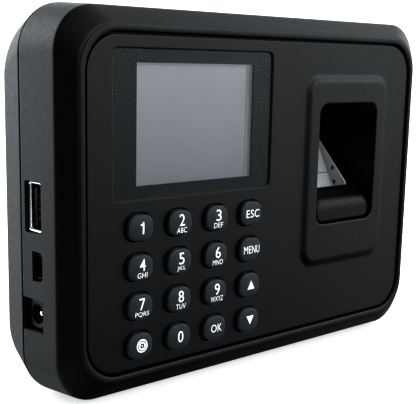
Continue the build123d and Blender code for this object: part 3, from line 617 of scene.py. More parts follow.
round_over = [
    pan_loop(BACK_EDGE * (1 - math.sin(math.radians(a))), BACK_EDGE * (1 - math.cos(math.radians(a))))
    for a in (0, 15, 30, 45, 60, 75, 90)
]
rows = pan.stack([
    rounded(*INSIDE, SPLIT, arc=18), rounded(*STEP, SPLIT, arc=18), rounded(*STEP, RIM, arc=18),
    pan_loop(RIM, 0.28), pan_loop(RIM - 0.06, 0.09), pan_loop(RIM - 0.28, 0.0), pan_loop(RIM - 0.6, 0.0),
    pan_loop(BACK_EDGE + 0.5), *round_over, pan_loop(0.0, BACK_EDGE + 0.5),
])
inner = pan.stack([
    rounded(BACK_W - 6.4, BACK_H - 6.4, BACK_R - FLOOR - 0.5, FLOOR, arc=18),
    rounded(BACK_W - 5.4, BACK_H - 5.4, BACK_R - FLOOR, FLOOR, arc=18),
    rounded(*INSIDE, SPLIT, arc=18),
])


def keyhole(x, z, out, depth):
    """Round hole with a narrower slot upwards."""
    big, half, long = 4.5 + out, 2.2 + out, 9.0
    join = math.asin(half / big)
    points = []
    for k in range(25):
        turn = math.pi / 2 + join + (2 * math.pi - 2 * join) * k / 24
        points.append((x + big * math.cos(turn), depth, z + big * math.sin(turn)))
    for k in range(13):
        turn = math.pi * k / 12
        points.append((x + half * math.cos(turn), depth, z + long + half * math.sin(turn)))
    return points


def slot_loop(w, h, x, z, out, depth):
    return rounded(w + 2 * out, h + 2 * out, min(w, h) / 2 + out - 0.001, depth, x, z, 6)


HANG_X, HANG_Z = 45.0, 24.0
VENT_X, SPEAKER_X, GRILLE_Z = 45.0, -40.0, -37.0
through = [lambda out, depth, x=x: keyhole(x, HANG_Z, out, depth) for x in (-HANG_X, HANG_X)]
through += [
    lambda out, depth, z=z: slot_loop(20.0, 1.6, VENT_X, z, out, depth)
    for z in (GRILLE_Z + 3.6 * k for k in (-2, -1, 0, 1, 2))
]
through += [
    lambda out, depth, x=x: slot_loop(1.8, 16.0, x, GRILLE_Z, out, depth)
    for x in (SPEAKER_X + 5.0 * k for k in range(-4, 5))
]
back_holes, floor_holes = [], []
# Eased edge of an opening, as (outward growth, depth).
EASE = ((0.75, 0.0), (0.35, 0.0), (0.12, 0.07), (0.0, 0.32))
for hole in through:
    made = pan.stack([hole(out, depth) for out, depth in EASE] + [hole(0.0, FLOOR), hole(0.3, FLOOR)])
    back_holes.append(made[0])
    floor_holes.append(made[-1])
SCREW_X, SCREW_Z = 73.0, 47.5
BORE_R, SHANK_R, BOSS_R, HEAD_SEAT = 3.2, 1.7, 4.0, 4.0
BORES = [(sx * SCREW_X, sz * SCREW_Z) for sx in (-1, 1) for sz in (-1, 1)]
for x, z in BORES:
    made = pan.stack(
        [circle(BORE_R + out, depth, x, z) for out, depth in EASE]
        + [circle(r, depth, x, z) for r, depth in (
            (BORE_R, HEAD_SEAT - 0.3), (3.0, HEAD_SEAT), (SHANK_R, HEAD_SEAT), (SHANK_R, SPLIT),
            (BOSS_R, SPLIT), (BOSS_R, FLOOR), (BOSS_R + 0.3, FLOOR))]
    )
    back_holes.append(made[0])
    floor_holes.append(made[-1])
LABEL_W, LABEL_H, LABEL_Z, LABEL_SINK = 56.0, 26.0, 28.0, 0.4
recess = pan.stack(grown(LABEL_W, LABEL_H, 2.0, (
    (0.6, 0.0), (0.2, 0.0), (0.05, 0.04), (0.0, 0.16), (0.0, LABEL_SINK - 0.05),
    (-0.05, LABEL_SINK), (-0.4, LABEL_SINK),
), 0, LABEL_Z))
pan.cap(recess[-1])
back_holes.append(recess[0])
pan.fill(rows[-1], back_holes)
pan.fill(inner[0], floor_holes)
add("case_rear", pan, REAR, ["rear_cover"])

label = Shape()
label.solid(grown(LABEL_W - 2.0, LABEL_H - 2.0, 1.4, (
    (-0.4, LABEL_SINK), (0.0, LABEL_SINK), (0.0, LABEL_SINK - 0.1), (-0.05, LABEL_SINK - 0.14),
    (-0.4, LABEL_SINK - 0.14),
), 0, LABEL_Z))
add("rear_label", label, LABEL)

# ---- face plate, with its lens seat, key holes and the raised frame of the reader
PANEL_W, PANEL_H, PANEL_R = 2 * PANEL_X[1], 2 * PANEL_Z[1], 11.0
LENS_X, LENS_D, LENS_Z = span("display_lens")
LENS_W, LENS_H = LENS_X[1] - LENS_X[0], LENS_Z[1] - LENS_Z[0]
LENS_MID = (middle(LENS_X), middle(LENS_Z))
WINDOW_W, WINDOW_H, WINDOW_MID = 49.7, 37.2, (-34.15, 25.0)
READER_X = middle(span("sensor_housing")[0])
MOUTH_W, MOUTH_H, MOUTH_R, MOUTH_Z = 32.9, 44.2, 4.0, 8.05
PLATEAU = (47.0, 69.7, 6.5)     # raised frame round the mouth: width, height, corner radius
PLATEAU_Z = 5.35
KEY_NODES = [
    row["node"] for row in frame["record"]["subparts"] if row["material_slot"] == "key_rubber"
]
KEY_PLACES = {node: (middle(span(node)[0]), middle(span(node)[2])) for node in KEY_NODES}
KEY_W, KEY_H, KEY_R = 10.0, 8.3, 3.6
KEY_CLEAR = 0.35

plate = Shape()
outer = plate.stack(grown(PANEL_W, PANEL_H, PANEL_R, (
    (-0.6, PANEL_REAR), (0.2, PANEL_REAR), (0.3, PANEL_REAR + 0.1), (0.3, PANEL_FACE - 0.6),
    (0.3, PANEL_FACE - 0.3), (0.26, PANEL_FACE - 0.15), (0.16, PANEL_FACE - 0.05),
    (0.02, PANEL_FACE - 0.01), (-0.2, PANEL_FACE), (-0.9, PANEL_FACE),
), arc=16))
front_holes, rear_holes = [], []
for x, z in KEY_PLACES.values():
    made = plate.stack(grown(KEY_W, KEY_H, KEY_R, [
        (KEY_CLEAR + out, PANEL_FACE + depth)
        for out, depth in ((0.55, 0.0), (0.3, 0.0), (0.12, -0.04), (0.03, -0.14), (0.0, -0.3),
                           (0.0, PANEL_REAR - PANEL_FACE), (0.3, PANEL_REAR - PANEL_FACE))
    ], x, z, 8))
    front_holes.append(made[0])
    rear_holes.append(made[-1])
seat_floor = PANEL_FACE - 1.2
made = plate.stack(
    grown(LENS_W, LENS_H, 2.1, (
        (0.7, PANEL_FACE), (0.36, PANEL_FACE), (0.22, PANEL_FACE - 0.03), (0.13, PANEL_FACE - 0.12),
        (0.1, PANEL_FACE - 0.3), (0.1, seat_floor), (-0.3, seat_floor),
    ), *LENS_MID, 8)
    + [rounded(WINDOW_W + 3.4, WINDOW_H + 3.4, 0.8, seat_floor, *WINDOW_MID, 8)]
    + [rounded(WINDOW_W + 3, WINDOW_H + 3, 0.6, depth, *WINDOW_MID, 8) for depth in (seat_floor, PANEL_REAR)]
    + [rounded(WINDOW_W + 3.8, WINDOW_H + 3.8, 0.9, PANEL_REAR, *WINDOW_MID, 8)]
)
front_holes.append(made[0])
rear_holes.append(made[-1])
PLATEAU_FACE = PANEL_DEPTH[1]
made = plate.stack(
    grown(*PLATEAU, [(out, PANEL_FACE + rise * (PLATEAU_FACE - PANEL_FACE)) for out, rise in (
        (1.2, 0.0), (0.8, 0.0), (0.4, 0.01), (0.1, 0.045), (-0.25, 0.14), (-0.65, 0.30), (-1.1, 0.52),
        (-1.5, 0.71), (-1.9, 0.87), (-2.3, 0.96), (-2.7, 0.993), (-3.1, 1.0), (-3.6, 1.0),
    )], READER_X, PLATEAU_Z, 12)
    + grown(MOUTH_W, MOUTH_H, MOUTH_R, [(out, depth) for out, depth in (
        (0.9, PLATEAU_FACE), (0.55, PLATEAU_FACE), (0.28, PLATEAU_FACE - 0.04), (0.1, PLATEAU_FACE - 0.16),
        (0.02, PLATEAU_FACE - 0.36), (0.0, PLATEAU_FACE - 0.6), (0.0, PANEL_REAR), (0.4, PANEL_REAR),
    )], READER_X, MOUTH_Z, 12)
)
front_holes.append(made[0])
rear_holes.append(made[-1])
plate.fill(outer[-1], front_holes)
plate.fill(outer[0], rear_holes)
add("face_plate", plate, PANEL, ["front_panel"])

# ---- display: clear lens over a printed border
PRINT_T, LENS_GAP = 0.06, 0.06
CLEAR_REAR = LENS_D[0] + PRINT_T + LENS_GAP
lens = Shape()
lens.solid(grown(LENS_W, LENS_H, 2.0, (
    (-0.4, CLEAR_REAR), (-0.06, CLEAR_REAR), (0.0, CLEAR_REAR + 0.06), (0.0, LENS_D[1] - 0.2),
    (-0.03, LENS_D[1] - 0.08), (-0.1, LENS_D[1] - 0.02), (-0.2, LENS_D[1]), (-0.5, LENS_D[1]),
), *LENS_MID, 8))
add("screen_lens", lens, CLEAR, ["display_lens"])

border = Shape()
PRINT_MID = (WINDOW_MID[0] + 0.65, WINDOW_MID[1])      # a little right of the middle of the seat
PRINT_FRONT = LENS_D[0] + PRINT_T
made = border.stack(
    [rounded(LENS_W - 0.1, LENS_H - 0.1, 1.95, PRINT_FRONT - t, *LENS_MID, 8) for t in (PRINT_T, 0.0)]
    + [rounded(WINDOW_W, WINDOW_H, 0.25, PRINT_FRONT - t, *PRINT_MID, 8) for t in (0.0, PRINT_T)]
)
border.bridge(made[-1], made[0])
add("screen_border", border, FILM)

# ---- keys: pillow-shaped rubber caps on a flange and stem
FLANGE_FRONT = PANEL_REAR - 0.3
KEY_TOP = span(KEY_NODES[0])[1][1]
STEM_REAR = 25.0
CROWN = 0.22
# The cap's dome, as (distance in from the edge, drop below the crown).
DOME = (
    (0.66, 0.255), (1.0, CROWN * 0.90), (1.6, CROWN * 0.66), (2.3, CROWN * 0.40), (3.0, CROWN * 0.17),
    (3.6, CROWN * 0.04),
)


def key_cap(x, z, crown_depth):
    """Domed cap with rounded shoulders, and the flange and stem behind it."""
    cap = Shape()
    profile = [
        (-2.2, STEM_REAR), (-1.9, STEM_REAR), (-1.85, STEM_REAR + 0.1), (-1.85, FLANGE_FRONT - 1.0),
        (0.6, FLANGE_FRONT - 1.0), (0.9, FLANGE_FRONT - 0.8), (0.9, FLANGE_FRONT - 0.15),
        (0.75, FLANGE_FRONT),
        (0.02, FLANGE_FRONT), (0.0, FLANGE_FRONT + 0.05), (0.0, PANEL_FACE - 0.2), (0.0, crown_depth - 0.92),
        (-0.03, crown_depth - 0.70), (-0.11, crown_depth - 0.50), (-0.26, crown_depth - 0.36),
        (-0.45, crown_depth - 0.295), *((-inset, crown_depth - drop) for inset, drop in DOME),
    ]
    cap.solid(grown(KEY_W, KEY_H, KEY_R, profile, x, z, 10))
    return cap


def cap_depth(dx, dz):
    """Depth of a key cap's surface below its crown, at a point off its middle."""
    half_w, half_h = KEY_W / 2, KEY_H / 2
    inset = min(half_w - abs(dx), half_h - abs(dz))
    corner_x, corner_z = abs(dx) - (half_w - KEY_R), abs(dz) - (half_h - KEY_R)
    if corner_x > 0 and corner_z > 0:
        inset = KEY_R - math.hypot(corner_x, corner_z)
    table = (*DOME, (4.5, 0.0))
    for (a, low), (b, high) in zip(table, table[1:]):
        if inset <= b:
            return low + (high - low) * max(0.0, (inset - a)) / (b - a)
    return 0.0


def lettering(text, height, width=None, weight=0.0, spacing=1.0):
    """Flat outline of a word in 2D millimetres, centred on its own middle."""
    curve = bpy.data.curves.new("word", "FONT")
    curve.body = text
    curve.size = 1.0
    curve.space_character = spacing
    curve.offset = weight
    curve.resolution_u = 5
    holder = bpy.data.objects.new("word", curve)
    bpy.context.scene.collection.objects.link(holder)
    graph = bpy.context.evaluated_depsgraph_get()
    data = bpy.data.meshes.new_from_object(holder.evaluated_get(graph))
    bpy.data.objects.remove(holder)
    bpy.data.curves.remove(curve)
    xs = [v.co.x for v in data.vertices]
    ys = [v.co.y for v in data.vertices]
    tall = height / (max(ys) - min(ys))
    wide = width / (max(xs) - min(xs)) if width else tall
    mid_x, mid_y = middle((min(xs), max(xs))), middle((min(ys), max(ys)))
    for v in data.vertices:
        v.co = ((v.co.x - mid_x) * wide, (v.co.y - mid_y) * tall, 0)
    return data


def polygon_mesh(rings):
    """Flat mesh of one or more outlines; a second ring inside the first is a hole."""
    shape = Shape()
    made = [shape.loop([(a, 0.0, b) for a, b in ring]) for ring in rings]
    shape.fill(made[0], made[1:])
    data = bpy.data.meshes.new("mark")
    data.from_pydata([(x, z, 0.0) for x, _, z in shape.points], [], shape.faces)
    return data


def ring_points(r, count=40):
    turns = (2 * math.pi * k / count for k in range(count))
    return [(r * math.cos(turn), r * math.sin(turn)) for turn in turns]


INK_T, INK_ROOT = 0.035, 0.06    # thickness over the key, and depth sunk into it
INK_CELL = 0.55         # marks are cut this fine, to follow the dome
MARK_X = 0.5            # the marks sit this much right of each key's middle


def print_on_key(name, node, marks, crown_depth):
    """Lays flat marks on a key's domed surface, as a thin closed layer of ink."""
    x0, z0 = KEY_PLACES[node]
    work = bmesh.new()
    for data, dx, dz in marks:
        data.transform(Matrix.Translation((dx + MARK_X, dz, 0)))
        work.from_mesh(data)
        bpy.data.meshes.remove(data)
    for axis in (0, 1):
        for k in range(-8, 9):
            spot, way = [0.0] * 3, [0.0] * 3
            spot[axis], way[axis] = k * INK_CELL, 1.0
            bmesh.ops.bisect_plane(
                work, geom=[*work.verts, *work.edges, *work.faces], dist=1e-5, plane_co=spot, plane_no=way
            )
    bmesh.ops.triangulate(work, faces=work.faces)
    bmesh.ops.remove_doubles(work, verts=work.verts, dist=1e-4)
    grown_faces = bmesh.ops.extrude_face_region(work, geom=list(work.faces))
    raised = {v for v in grown_faces["geom"] if isinstance(v, bmesh.types.BMVert)}
    for v in work.verts:
        a, b = v.co.x, v.co.y
        lift = INK_T if v in raised else -INK_ROOT
        v.co = ((x0 + a) * MM, -(crown_depth - cap_depth(a, b) + lift) * MM, (z0 + b) * MM)
    bmesh.ops.recalc_face_normals(work, faces=work.faces)
    data = bpy.data.meshes.new(name)
    work.to_mesh(data)
    work.free()
    return add(name, data, INK, body=node, sharp=40.0)


DIGIT_H, DIGIT_W, SUB_H, WORD_H = 3.8, 2.3, 1.75, 2.7
FIGURE_ONE = [
    (0.50, -1.92), (0.50, 1.92), (0.06, 1.92), (-0.10, 1.56), (-0.42, 1.32), (-0.88, 1.22), (-0.88, 0.80),
    (-0.12, 0.80), (-0.12, -1.92),
]
DIGIT_UP, SUB_DOWN = 0.95, -2.35
CROWN_DEPTH = KEY_TOP - INK_T - 0.005
LETTERS = {
    "2": "ABC", "3": "DEF", "4": "GHI", "5": "JKL", "6": "MNO", "7": "PQRS", "8": "TUV", "9": "WXYZ",
}
LETTERS_W = {
    "ABC": 4.3, "DEF": 4.1, "GHI": 3.9, "JKL": 3.7, "MNO": 4.6, "PQRS": 5.5, "TUV": 4.2, "WXYZ": 5.6,
}
WORDS = {"esc": ("ESC", 6.3), "menu": ("MENU", 7.6), "ok": ("OK", 4.9)}
MARK_RINGS, MARK_DOT = ((2.2, 1.72), (1.42, 0.82)), 0.26
TRIANGLE = [(-1.75, -1.5), (1.75, -1.5), (0.0, 1.6)]

for node in KEY_NODES:
    sign = node[len("key_"):]
    x, z = KEY_PLACES[node]
    add(f"cap_{sign}", key_cap(x, z, CROWN_DEPTH), KEY, [node], body=node, sharp=50.0)
    if sign == "1":
        marks = [(polygon_mesh([FIGURE_ONE]), 0.0, 0.0)]
    elif sign == "0":
        marks = [(lettering(sign, DIGIT_H, DIGIT_W, 0.003), 0.0, 0.0)]
    elif sign in LETTERS:
        word = LETTERS[sign]
        marks = [
            (lettering(sign, DIGIT_H, DIGIT_W, 0.003), 0.0, DIGIT_UP),
            (lettering(word, SUB_H, LETTERS_W[word], 0.0, 1.05), 0.0, SUB_DOWN),
        ]
    elif sign in WORDS:
        word, word_w = WORDS[sign]
        marks = [(lettering(word, WORD_H, word_w, 0.0, 1.04), 0.0, 0.0)]
    elif sign in ("up", "down"):
        flip = 1 if sign == "up" else -1
        marks = [(polygon_mesh([[(a, b * flip) for a, b in TRIANGLE]]), 0.0, 0.0)]
    else:
        marks = [(polygon_mesh([ring_points(a), ring_points(b)]), 0.0, 0.0) for a, b in MARK_RINGS]
        marks.append((polygon_mesh([ring_points(MARK_DOT, 20)]), 0.0, 0.0))
    print_on_key(f"legend_{sign}", node, marks, CROWN_DEPTH)

# ---- USB A socket: folded nickel shell with a flared mouth, tongue and contacts
USB_MOUTH, USB_END = span("usb_a_shell")[0]
usb = Shape()
USB_W, USB_H = 6.8, 14.2
usb.solid([slotted(USB_W + w, USB_H + h, r, x, USB_D, USB_Z) for w, h, r, x in (
    (0.0, 0.0, 0.8, USB_END), (0.0, 0.0, 0.8, USB_MOUTH + 1.0), (0.04, 0.25, 0.85, USB_MOUTH + 0.5),
    (0.08, 0.62, 0.9, USB_MOUTH + 0.16), (0.02, 0.60, 0.88, USB_MOUTH + 0.02),
    (-0.25, 0.30, 0.8, USB_MOUTH), (-0.62, -0.20, 0.6, USB_MOUTH + 0.2),
    (-0.8, -0.8, 0.5, USB_MOUTH + 1.0), (-0.8, -0.8, 0.5, USB_END - 0.6),
)])
add("usb_a_case", usb, BRIGHT, ["usb_a_shell"], sharp=50.0)

TONGUE = span("usb_a_tongue")
tongue = Shape()
t_mid, t_w, t_h = middle(TONGUE[1]), 1.9, 11.4
tongue.solid([slotted(t_w - 2 * k, t_h - 2 * k, 0.3, x, t_mid, USB_Z) for k, x in (
    (0.25, TONGUE[0][0]), (0.06, TONGUE[0][0] + 0.08), (0.0, TONGUE[0][0] + 0.3), (0.0, TONGUE[0][1]))])
add("usb_a_insert", tongue, BLACK, ["usb_a_tongue"])
contacts = Shape()
for offset in (-3.5, -1.0, 1.0, 3.5):
    contacts.solid([
        slotted(0.16, 1.0, 0.06, x, t_mid + t_w / 2 + lift, USB_Z + offset, 3)
        for x, lift in ((TONGUE[0][0] + 0.6, -0.02), (TONGUE[0][0] + 0.9, 0.08), (TONGUE[0][0] + 4.0, 0.14),
                        (TONGUE[0][1] - 1.0, 0.04))
    ])
add("usb_a_contacts", contacts, SHADED_GOLD)

# ---- mini USB socket
mini = Shape()
M_MOUTH, M_END = span("mini_usb_shell")[0]
mini.solid([
    mini_loop(M_END, 0.0, 0.87), mini_loop(M_MOUTH + 0.12, 0.0, 0.87), mini_loop(M_MOUTH, 0.0, 0.84),
    mini_loop(M_MOUTH + 0.1, 0.0, 0.76), mini_loop(M_END - 0.6, 0.0, 0.74),
])
add("mini_usb_case", mini, SHADED_TIN, ["mini_usb_shell"], sharp=30.0)
M_TONGUE = span("mini_usb_tongue")
insert = Shape()
insert.solid([slotted(0.9 - k, 4.6 - k, 0.12, x, MINI_D, MINI_Z, 4) for k, x in (
    (0.2, M_TONGUE[0][0]), (0.0, M_TONGUE[0][0] + 0.15), (0.0, M_TONGUE[0][1]))])
add("mini_usb_insert", insert, BROWN, ["mini_usb_tongue"])

# ---- round power jack
JACK = span("dc_jack_body")
J_FACE, J_END = JACK[0]
jack = Shape()
J_W, J_H = JACK[1][1] - JACK[1][0], JACK[2][1] - JACK[2][0]


def jack_loop(x, shrink):
    """Square towards the rear, with the two front corners cut off."""
    a, b, c = J_W / 2 - shrink, J_H / 2 - shrink, 2.4
    steps = []
    for start, end in (((-a, -b), (a - c, -b)), ((a - c, -b), (a, -b + c)), ((a, -b + c), (a, b - c)),
                       ((a, b - c), (a - c, b)), ((a - c, b), (-a, b)), ((-a, b), (-a, -b))):
        for k in range(6):
            depth, z = (low + (high - low) * k / 6 for low, high in zip(start, end))
            steps.append((x, JACK_D + depth, JACK_Z + z))
    return steps


def matched(loop, r, x):
    """Circle with one point for each point of an outline, along the same directions."""
    spots = []
    for _, depth, z in loop:
        way = Vector((depth - JACK_D, z - JACK_Z)).normalized()
        spots.append((x, JACK_D + way.x * r, JACK_Z + way.y * r))
    return spots


face_loop = jack_loop(J_FACE, 0.3)
jack.solid([
    jack_loop(J_END, 0.0), jack_loop(J_FACE + 0.25, 0.0), jack_loop(J_FACE + 0.07, 0.08), face_loop,
    *(matched(face_loop, r, J_FACE + x) for r, x in (
        (4.0, 0.0), (3.5, 0.0), (3.4, 0.02), (3.22, 0.12), (3.2, 0.4), (3.2, 9.5))),
])
add("power_jack", jack, BLACK, ["dc_jack_body"], sharp=40.0)
PIN = span("dc_jack_pin")
pin = Shape()
pin.solid([side_circle(r, PIN[0][0] + x, JACK_D, JACK_Z) for r, x in (
    (0.12, 0.0), (0.45, 0.05), (0.75, 0.2), (0.93, 0.45), (1.0, 0.8), (1.0, 1.6), (1.0, 8.4))])
add("power_pin", pin, BRIGHT, ["dc_jack_pin"], sharp=60.0)
spring = Shape()
made = spring.stack([side_circle(r, x, JACK_D, JACK_Z, 40) for r, x in (
    (3.18, J_FACE + 1.5), (3.18, J_FACE + 9.0), (2.95, J_FACE + 9.0), (2.95, J_FACE + 1.5))])
spring.bridge(made[-1], made[0])
add("power_sleeve", spring, STEEL)

# ---- finger rest: rounded block that rises towards the glass
REST_X, REST_D, _ = span("finger_rest")
REST_FLOOR = MOUTH_Z - MOUTH_H / 2 + 0.2
REST_FACE = REST_D[1]
rest = Shape()
half = (REST_X[1] - REST_X[0]) / 2


def rest_loop(depth, top, shrink=0.0, r=3.2):
    h = top - REST_FLOOR - 2 * shrink
    middle_z = REST_FLOOR + shrink + h / 2
    return rounded(2 * (half - shrink), h, min(r, h / 2 - 0.02), depth, READER_X, middle_z, 10)


# Outline from rear to front, as (depth, height of the top, shrinkage).
REST_STEPS = [
    (25.4, -1.9, 0.3), (25.6, -1.66, 0.06), (26.2, -1.62, 0.0), (27.4, -2.3, 0.0), (28.6, -3.1, 0.0),
    (29.6, -3.85, 0.0), (30.3, -4.3, 0.0), (30.9, -4.62, 0.01), (31.4, -4.9, 0.03), (31.85, -5.25, 0.07),
    (32.25, -5.62, 0.14), (32.6, -6.05, 0.24), (32.85, -6.5, 0.36), (33.03, -6.95, 0.52), (33.15, -7.4, 0.7),
    (REST_FACE, -7.75, 0.9), (REST_FACE, -8.1, 1.3),
]
rest.solid([rest_loop(depth, top, shrink) for depth, top, shrink in REST_STEPS])
add("finger_block", rest, REST, ["finger_rest"], sharp=60.0)

# ---- sensor: leaning glass, and the bracket with a cheek on each side of it
GLASS_HALF = 10.2
GLASS_TOP = 19.4
HOLE_R = 0.95           # holes in the bracket's cheeks
CHEEK_HOLES = ((18.4, 4.2), (19.6, -1.2))
FOOT, KNEE, HEAD, GLASS_REAR = (20.3, -12.0), (20.3, -3.8), (11.0, 13.2), 10.6


def glass_side(x, shrink):
    """Side view of the glass at x, as a loop with softened edges."""
    lean = Vector((HEAD[0] - KNEE[0], HEAD[1] - KNEE[1]))
    along = lean.normalized()
    normal = Vector((along.y, -along.x))
    if normal.x < 0:
        normal.negate()
    spots = []
    for t in (0.02, 0.25, 0.5, 0.75, 0.98):
        spot = Vector(KNEE) + lean * t - normal * shrink
        spots.append((x, spot.x, spot.y))
    spots += [
        (x, HEAD[0] - 0.05 - shrink * 0.5, GLASS_TOP - shrink), (x, GLASS_REAR + shrink, GLASS_TOP - shrink),
        (x, GLASS_REAR + shrink, FOOT[1] + shrink), (x, FOOT[0] - 0.3 - shrink, FOOT[1] + shrink),
        (x, FOOT[0] - shrink, FOOT[1] + 0.3 + shrink),
    ]
    return spots


prism = Shape()
prism.solid([glass_side(READER_X + sx * (GLASS_HALF - 0.05) + dx, shrink) for sx, dx, shrink in (
    (-1, 0.0, 0.22), (-1, 0.18, 0.0), (1, -0.18, 0.0), (1, 0.0, 0.22))])
add("sensor_glass", prism, GLASS, ["sensor_prism"])

CAVITY_FLOOR = MOUTH_Z - MOUTH_H / 2 - 0.25
CHEEK_FRONT, CHEEK_MID = 25.2, (19.0, 0.0)
CHEEK = [
    (CHEEK_FRONT, -0.9), (24.9, -0.5), (19.6, 5.3), (14.1, 11.3), (11.2, 14.5), (GLASS_REAR, 15.1),
    (GLASS_REAR, 2.0),
    (GLASS_REAR, CAVITY_FLOOR), (CHEEK_FRONT, CAVITY_FLOOR), (CHEEK_FRONT, -6.0),
]
bracket = Shape()
for side in (-1, 1):
    near = READER_X + side * (GLASS_HALF + 1.0)
    far = READER_X + side * GLASS_HALF
    holes_near, holes_far = [], []
    for depth, z in CHEEK_HOLES:
        made = bracket.stack([side_circle(HOLE_R, x, depth, z, 20) for x in (near, far)])
        holes_near.append(made[0])
        holes_far.append(made[1])
    loops = []
    for x, shrink in ((near, 0.12), (near - side * 0.12, 0.0), (far + side * 0.12, 0.0), (far, 0.12)):
        loops.append([
            (x, a + (CHEEK_MID[0] - a) * shrink * 0.08, b + (CHEEK_MID[1] - b) * shrink * 0.08)
            for a, b in CHEEK
        ])
    made = bracket.stack(loops)
    bracket.fill(made[0], holes_near, (1, 2))
    bracket.fill(made[-1], holes_far, (1, 2))
bracket.solid([
    rounded(2 * GLASS_HALF - 0.02, FOOT[1] - CAVITY_FLOOR - 0.1, 0.2, depth, READER_X,
            (FOOT[1] + CAVITY_FLOOR) / 2, 3)
    for depth in (GLASS_REAR, CHEEK_FRONT)
])
add("sensor_frame", bracket, PAINTED, ["sensor_bracket"])

# ---- case screws with cross recesses, seen from behind
screws = Shape()
HEAD_R, HEAD_REAR = 2.8, 2.0
CROSS_L, CROSS_W = 2.9, 0.62
for x, z in BORES:
    screws.solid([circle(r, depth, x, z, 40) for r, depth in (
        (0.6, 18.6), (1.2, 18.2), (1.45, 17.6), (1.45, HEAD_SEAT), (HEAD_R, HEAD_SEAT),
        (HEAD_R, HEAD_REAR + 0.9),
        (2.68, HEAD_REAR + 0.5), (2.4, HEAD_REAR + 0.2), (1.95, HEAD_REAR + 0.03), (1.5, HEAD_REAR))])
recesses = []
for x, z in BORES:
    for w, h in ((CROSS_L, CROSS_W), (CROSS_W, CROSS_L)):
        bar = Shape()
        bar.solid([
            rounded(w + grow, h + grow, 0.1, depth, x, z, 2)
            for depth, grow in ((HEAD_REAR - 0.5, 0.3), (HEAD_REAR + 0.1, 0.0), (HEAD_REAR + 1.3, -0.4))
        ])
        recesses.append(bar)
add("rear_screws", carve(screws, recesses, "screws"), ZINC, ["case_screws"])

# ---------------------------------------------------------------------- stage
FLOOR_Z = CAD_BOX[0].z - 0.0002      # just clear of the case
FLOOR_HALF = 6.0
floor_mesh = bpy.data.meshes.new("floor")
work = bmesh.new()
bmesh.ops.create_grid(work, x_segments=8, y_segments=8, size=FLOOR_HALF)
work.to_mesh(floor_mesh)
work.free()
floor = bpy.data.objects.new("floor", floor_mesh)
floor.location = (0, 0, FLOOR_Z)
bpy.context.scene.collection.objects.link(floor)
pale = Nodes("pale_floor")
pale.colour(pale.blend(pale.remap(pale.noise(3.0), 0.0, 1.0), (0.86, 0.86, 0.86), (0.88, 0.88, 0.88)))
pale.set(Roughness=0.8, Specular_IOR_Level=0.1, Emission_Color=(1, 1, 1, 1), Emission_Strength=0.35)
floor_mesh.materials.append(pale.material)
floor.visible_diffuse = floor.visible_glossy = floor.visible_transmission = False


# The studio is one soft environment: round patches of light, each given by its azimuth
# (0 is in front of the terminal, 90 on its right), elevation and strength.
PATCHES = [
    (130, 12, 2.4), (200, 22, 3.3), (240, 22, 1.7), (0, 22, 0.95), (40, 22, 2.35), (80, 22, 0.85),
    (120, 58, 1.05), (0, 90, 0.1), (80, -15, 0.4), (120, -15, 0.2), (200, -15, 1.0), (240, -15, 0.4),
    (270, -55, 1.65), (180, -55, 0.4),
]
SPREAD = 9.0            # higher is a smaller patch
SKY_TINT = (0.92, 0.97, 1.0, 1.0)
world = bpy.data.worlds.new("studio")
bpy.context.scene.world = world
world.use_nodes = True
tree = world.node_tree
tree.nodes.clear()


def math_node(operation, *values):
    """Math node; a value is a number or the output of another node."""
    node = tree.nodes.new("ShaderNodeMath")
    node.operation = operation
    for socket, value in zip(node.inputs, values):
        if isinstance(value, (int, float)):
            socket.default_value = value
        else:
            tree.links.new(value, socket)
    return node.outputs[0]


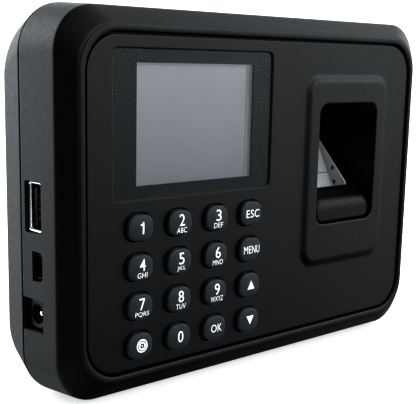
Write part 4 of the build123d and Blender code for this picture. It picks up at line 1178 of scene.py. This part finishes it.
ray = tree.nodes.new("ShaderNodeTexCoord").outputs["Generated"]
glow = 0.0
for azimuth, elevation, strength in PATCHES:
    a, e = math.radians(azimuth), math.radians(elevation)
    facing = tree.nodes.new("ShaderNodeVectorMath")
    facing.operation = "DOT_PRODUCT"
    facing.inputs[1].default_value = (math.sin(a) * math.cos(e), -math.cos(a) * math.cos(e), math.sin(e))
    tree.links.new(ray, facing.inputs[0])
    patch = math_node("POWER", math_node("MAXIMUM", facing.outputs["Value"], 0.0), SPREAD)
    glow = math_node("MULTIPLY_ADD", patch, strength, glow)
light = tree.nodes.new("ShaderNodeBackground")
light.inputs["Color"].default_value = SKY_TINT
tree.links.new(glow, light.inputs["Strength"])
# The camera sees plain white paper behind the terminal in place of the patches.
paper = tree.nodes.new("ShaderNodeBackground")
paper.inputs["Color"].default_value = (1.0, 1.0, 1.0, 1.0)
choose = tree.nodes.new("ShaderNodeMixShader")
tree.links.new(tree.nodes.new("ShaderNodeLightPath").outputs["Is Camera Ray"], choose.inputs["Fac"])
tree.links.new(light.outputs[0], choose.inputs[1])
tree.links.new(paper.outputs[0], choose.inputs[2])
tree.links.new(choose.outputs[0], tree.nodes.new("ShaderNodeOutputWorld").inputs["Surface"])

view_settings = bpy.context.scene.view_settings
view_settings.view_transform = "Standard"
view_settings.look = "Very High Contrast"

# --------------------------------------------------------------------- camera
YAW, PITCH, ROLL = (math.radians(a) for a in (41.19, 10.91, 0.85))
CAMERA_PLACE = (-0.22764, -0.24624, 0.04204)
camera = bpy.data.objects.new("camera", bpy.data.cameras.new("camera"))
camera.data.sensor_width = 36.0
camera.data.lens = 77.68
camera.data.shift_x = 0.0681
camera.data.shift_y = 0.0945
camera.data.clip_start, camera.data.clip_end = 0.01, 50.0
forward = Vector((math.sin(YAW) * math.cos(PITCH), math.cos(YAW) * math.cos(PITCH), -math.sin(PITCH)))
right = Vector((math.cos(YAW), -math.sin(YAW), 0))
up = right.cross(forward)
tilted_right = right * math.cos(ROLL) + up * math.sin(ROLL)
tilted_up = -right * math.sin(ROLL) + up * math.cos(ROLL)
turn = Matrix((tilted_right, tilted_up, -forward)).transposed().to_4x4()
camera.matrix_world = Matrix.Translation(CAMERA_PLACE) @ turn
bpy.context.scene.collection.objects.link(camera)
bpy.context.scene.camera = camera
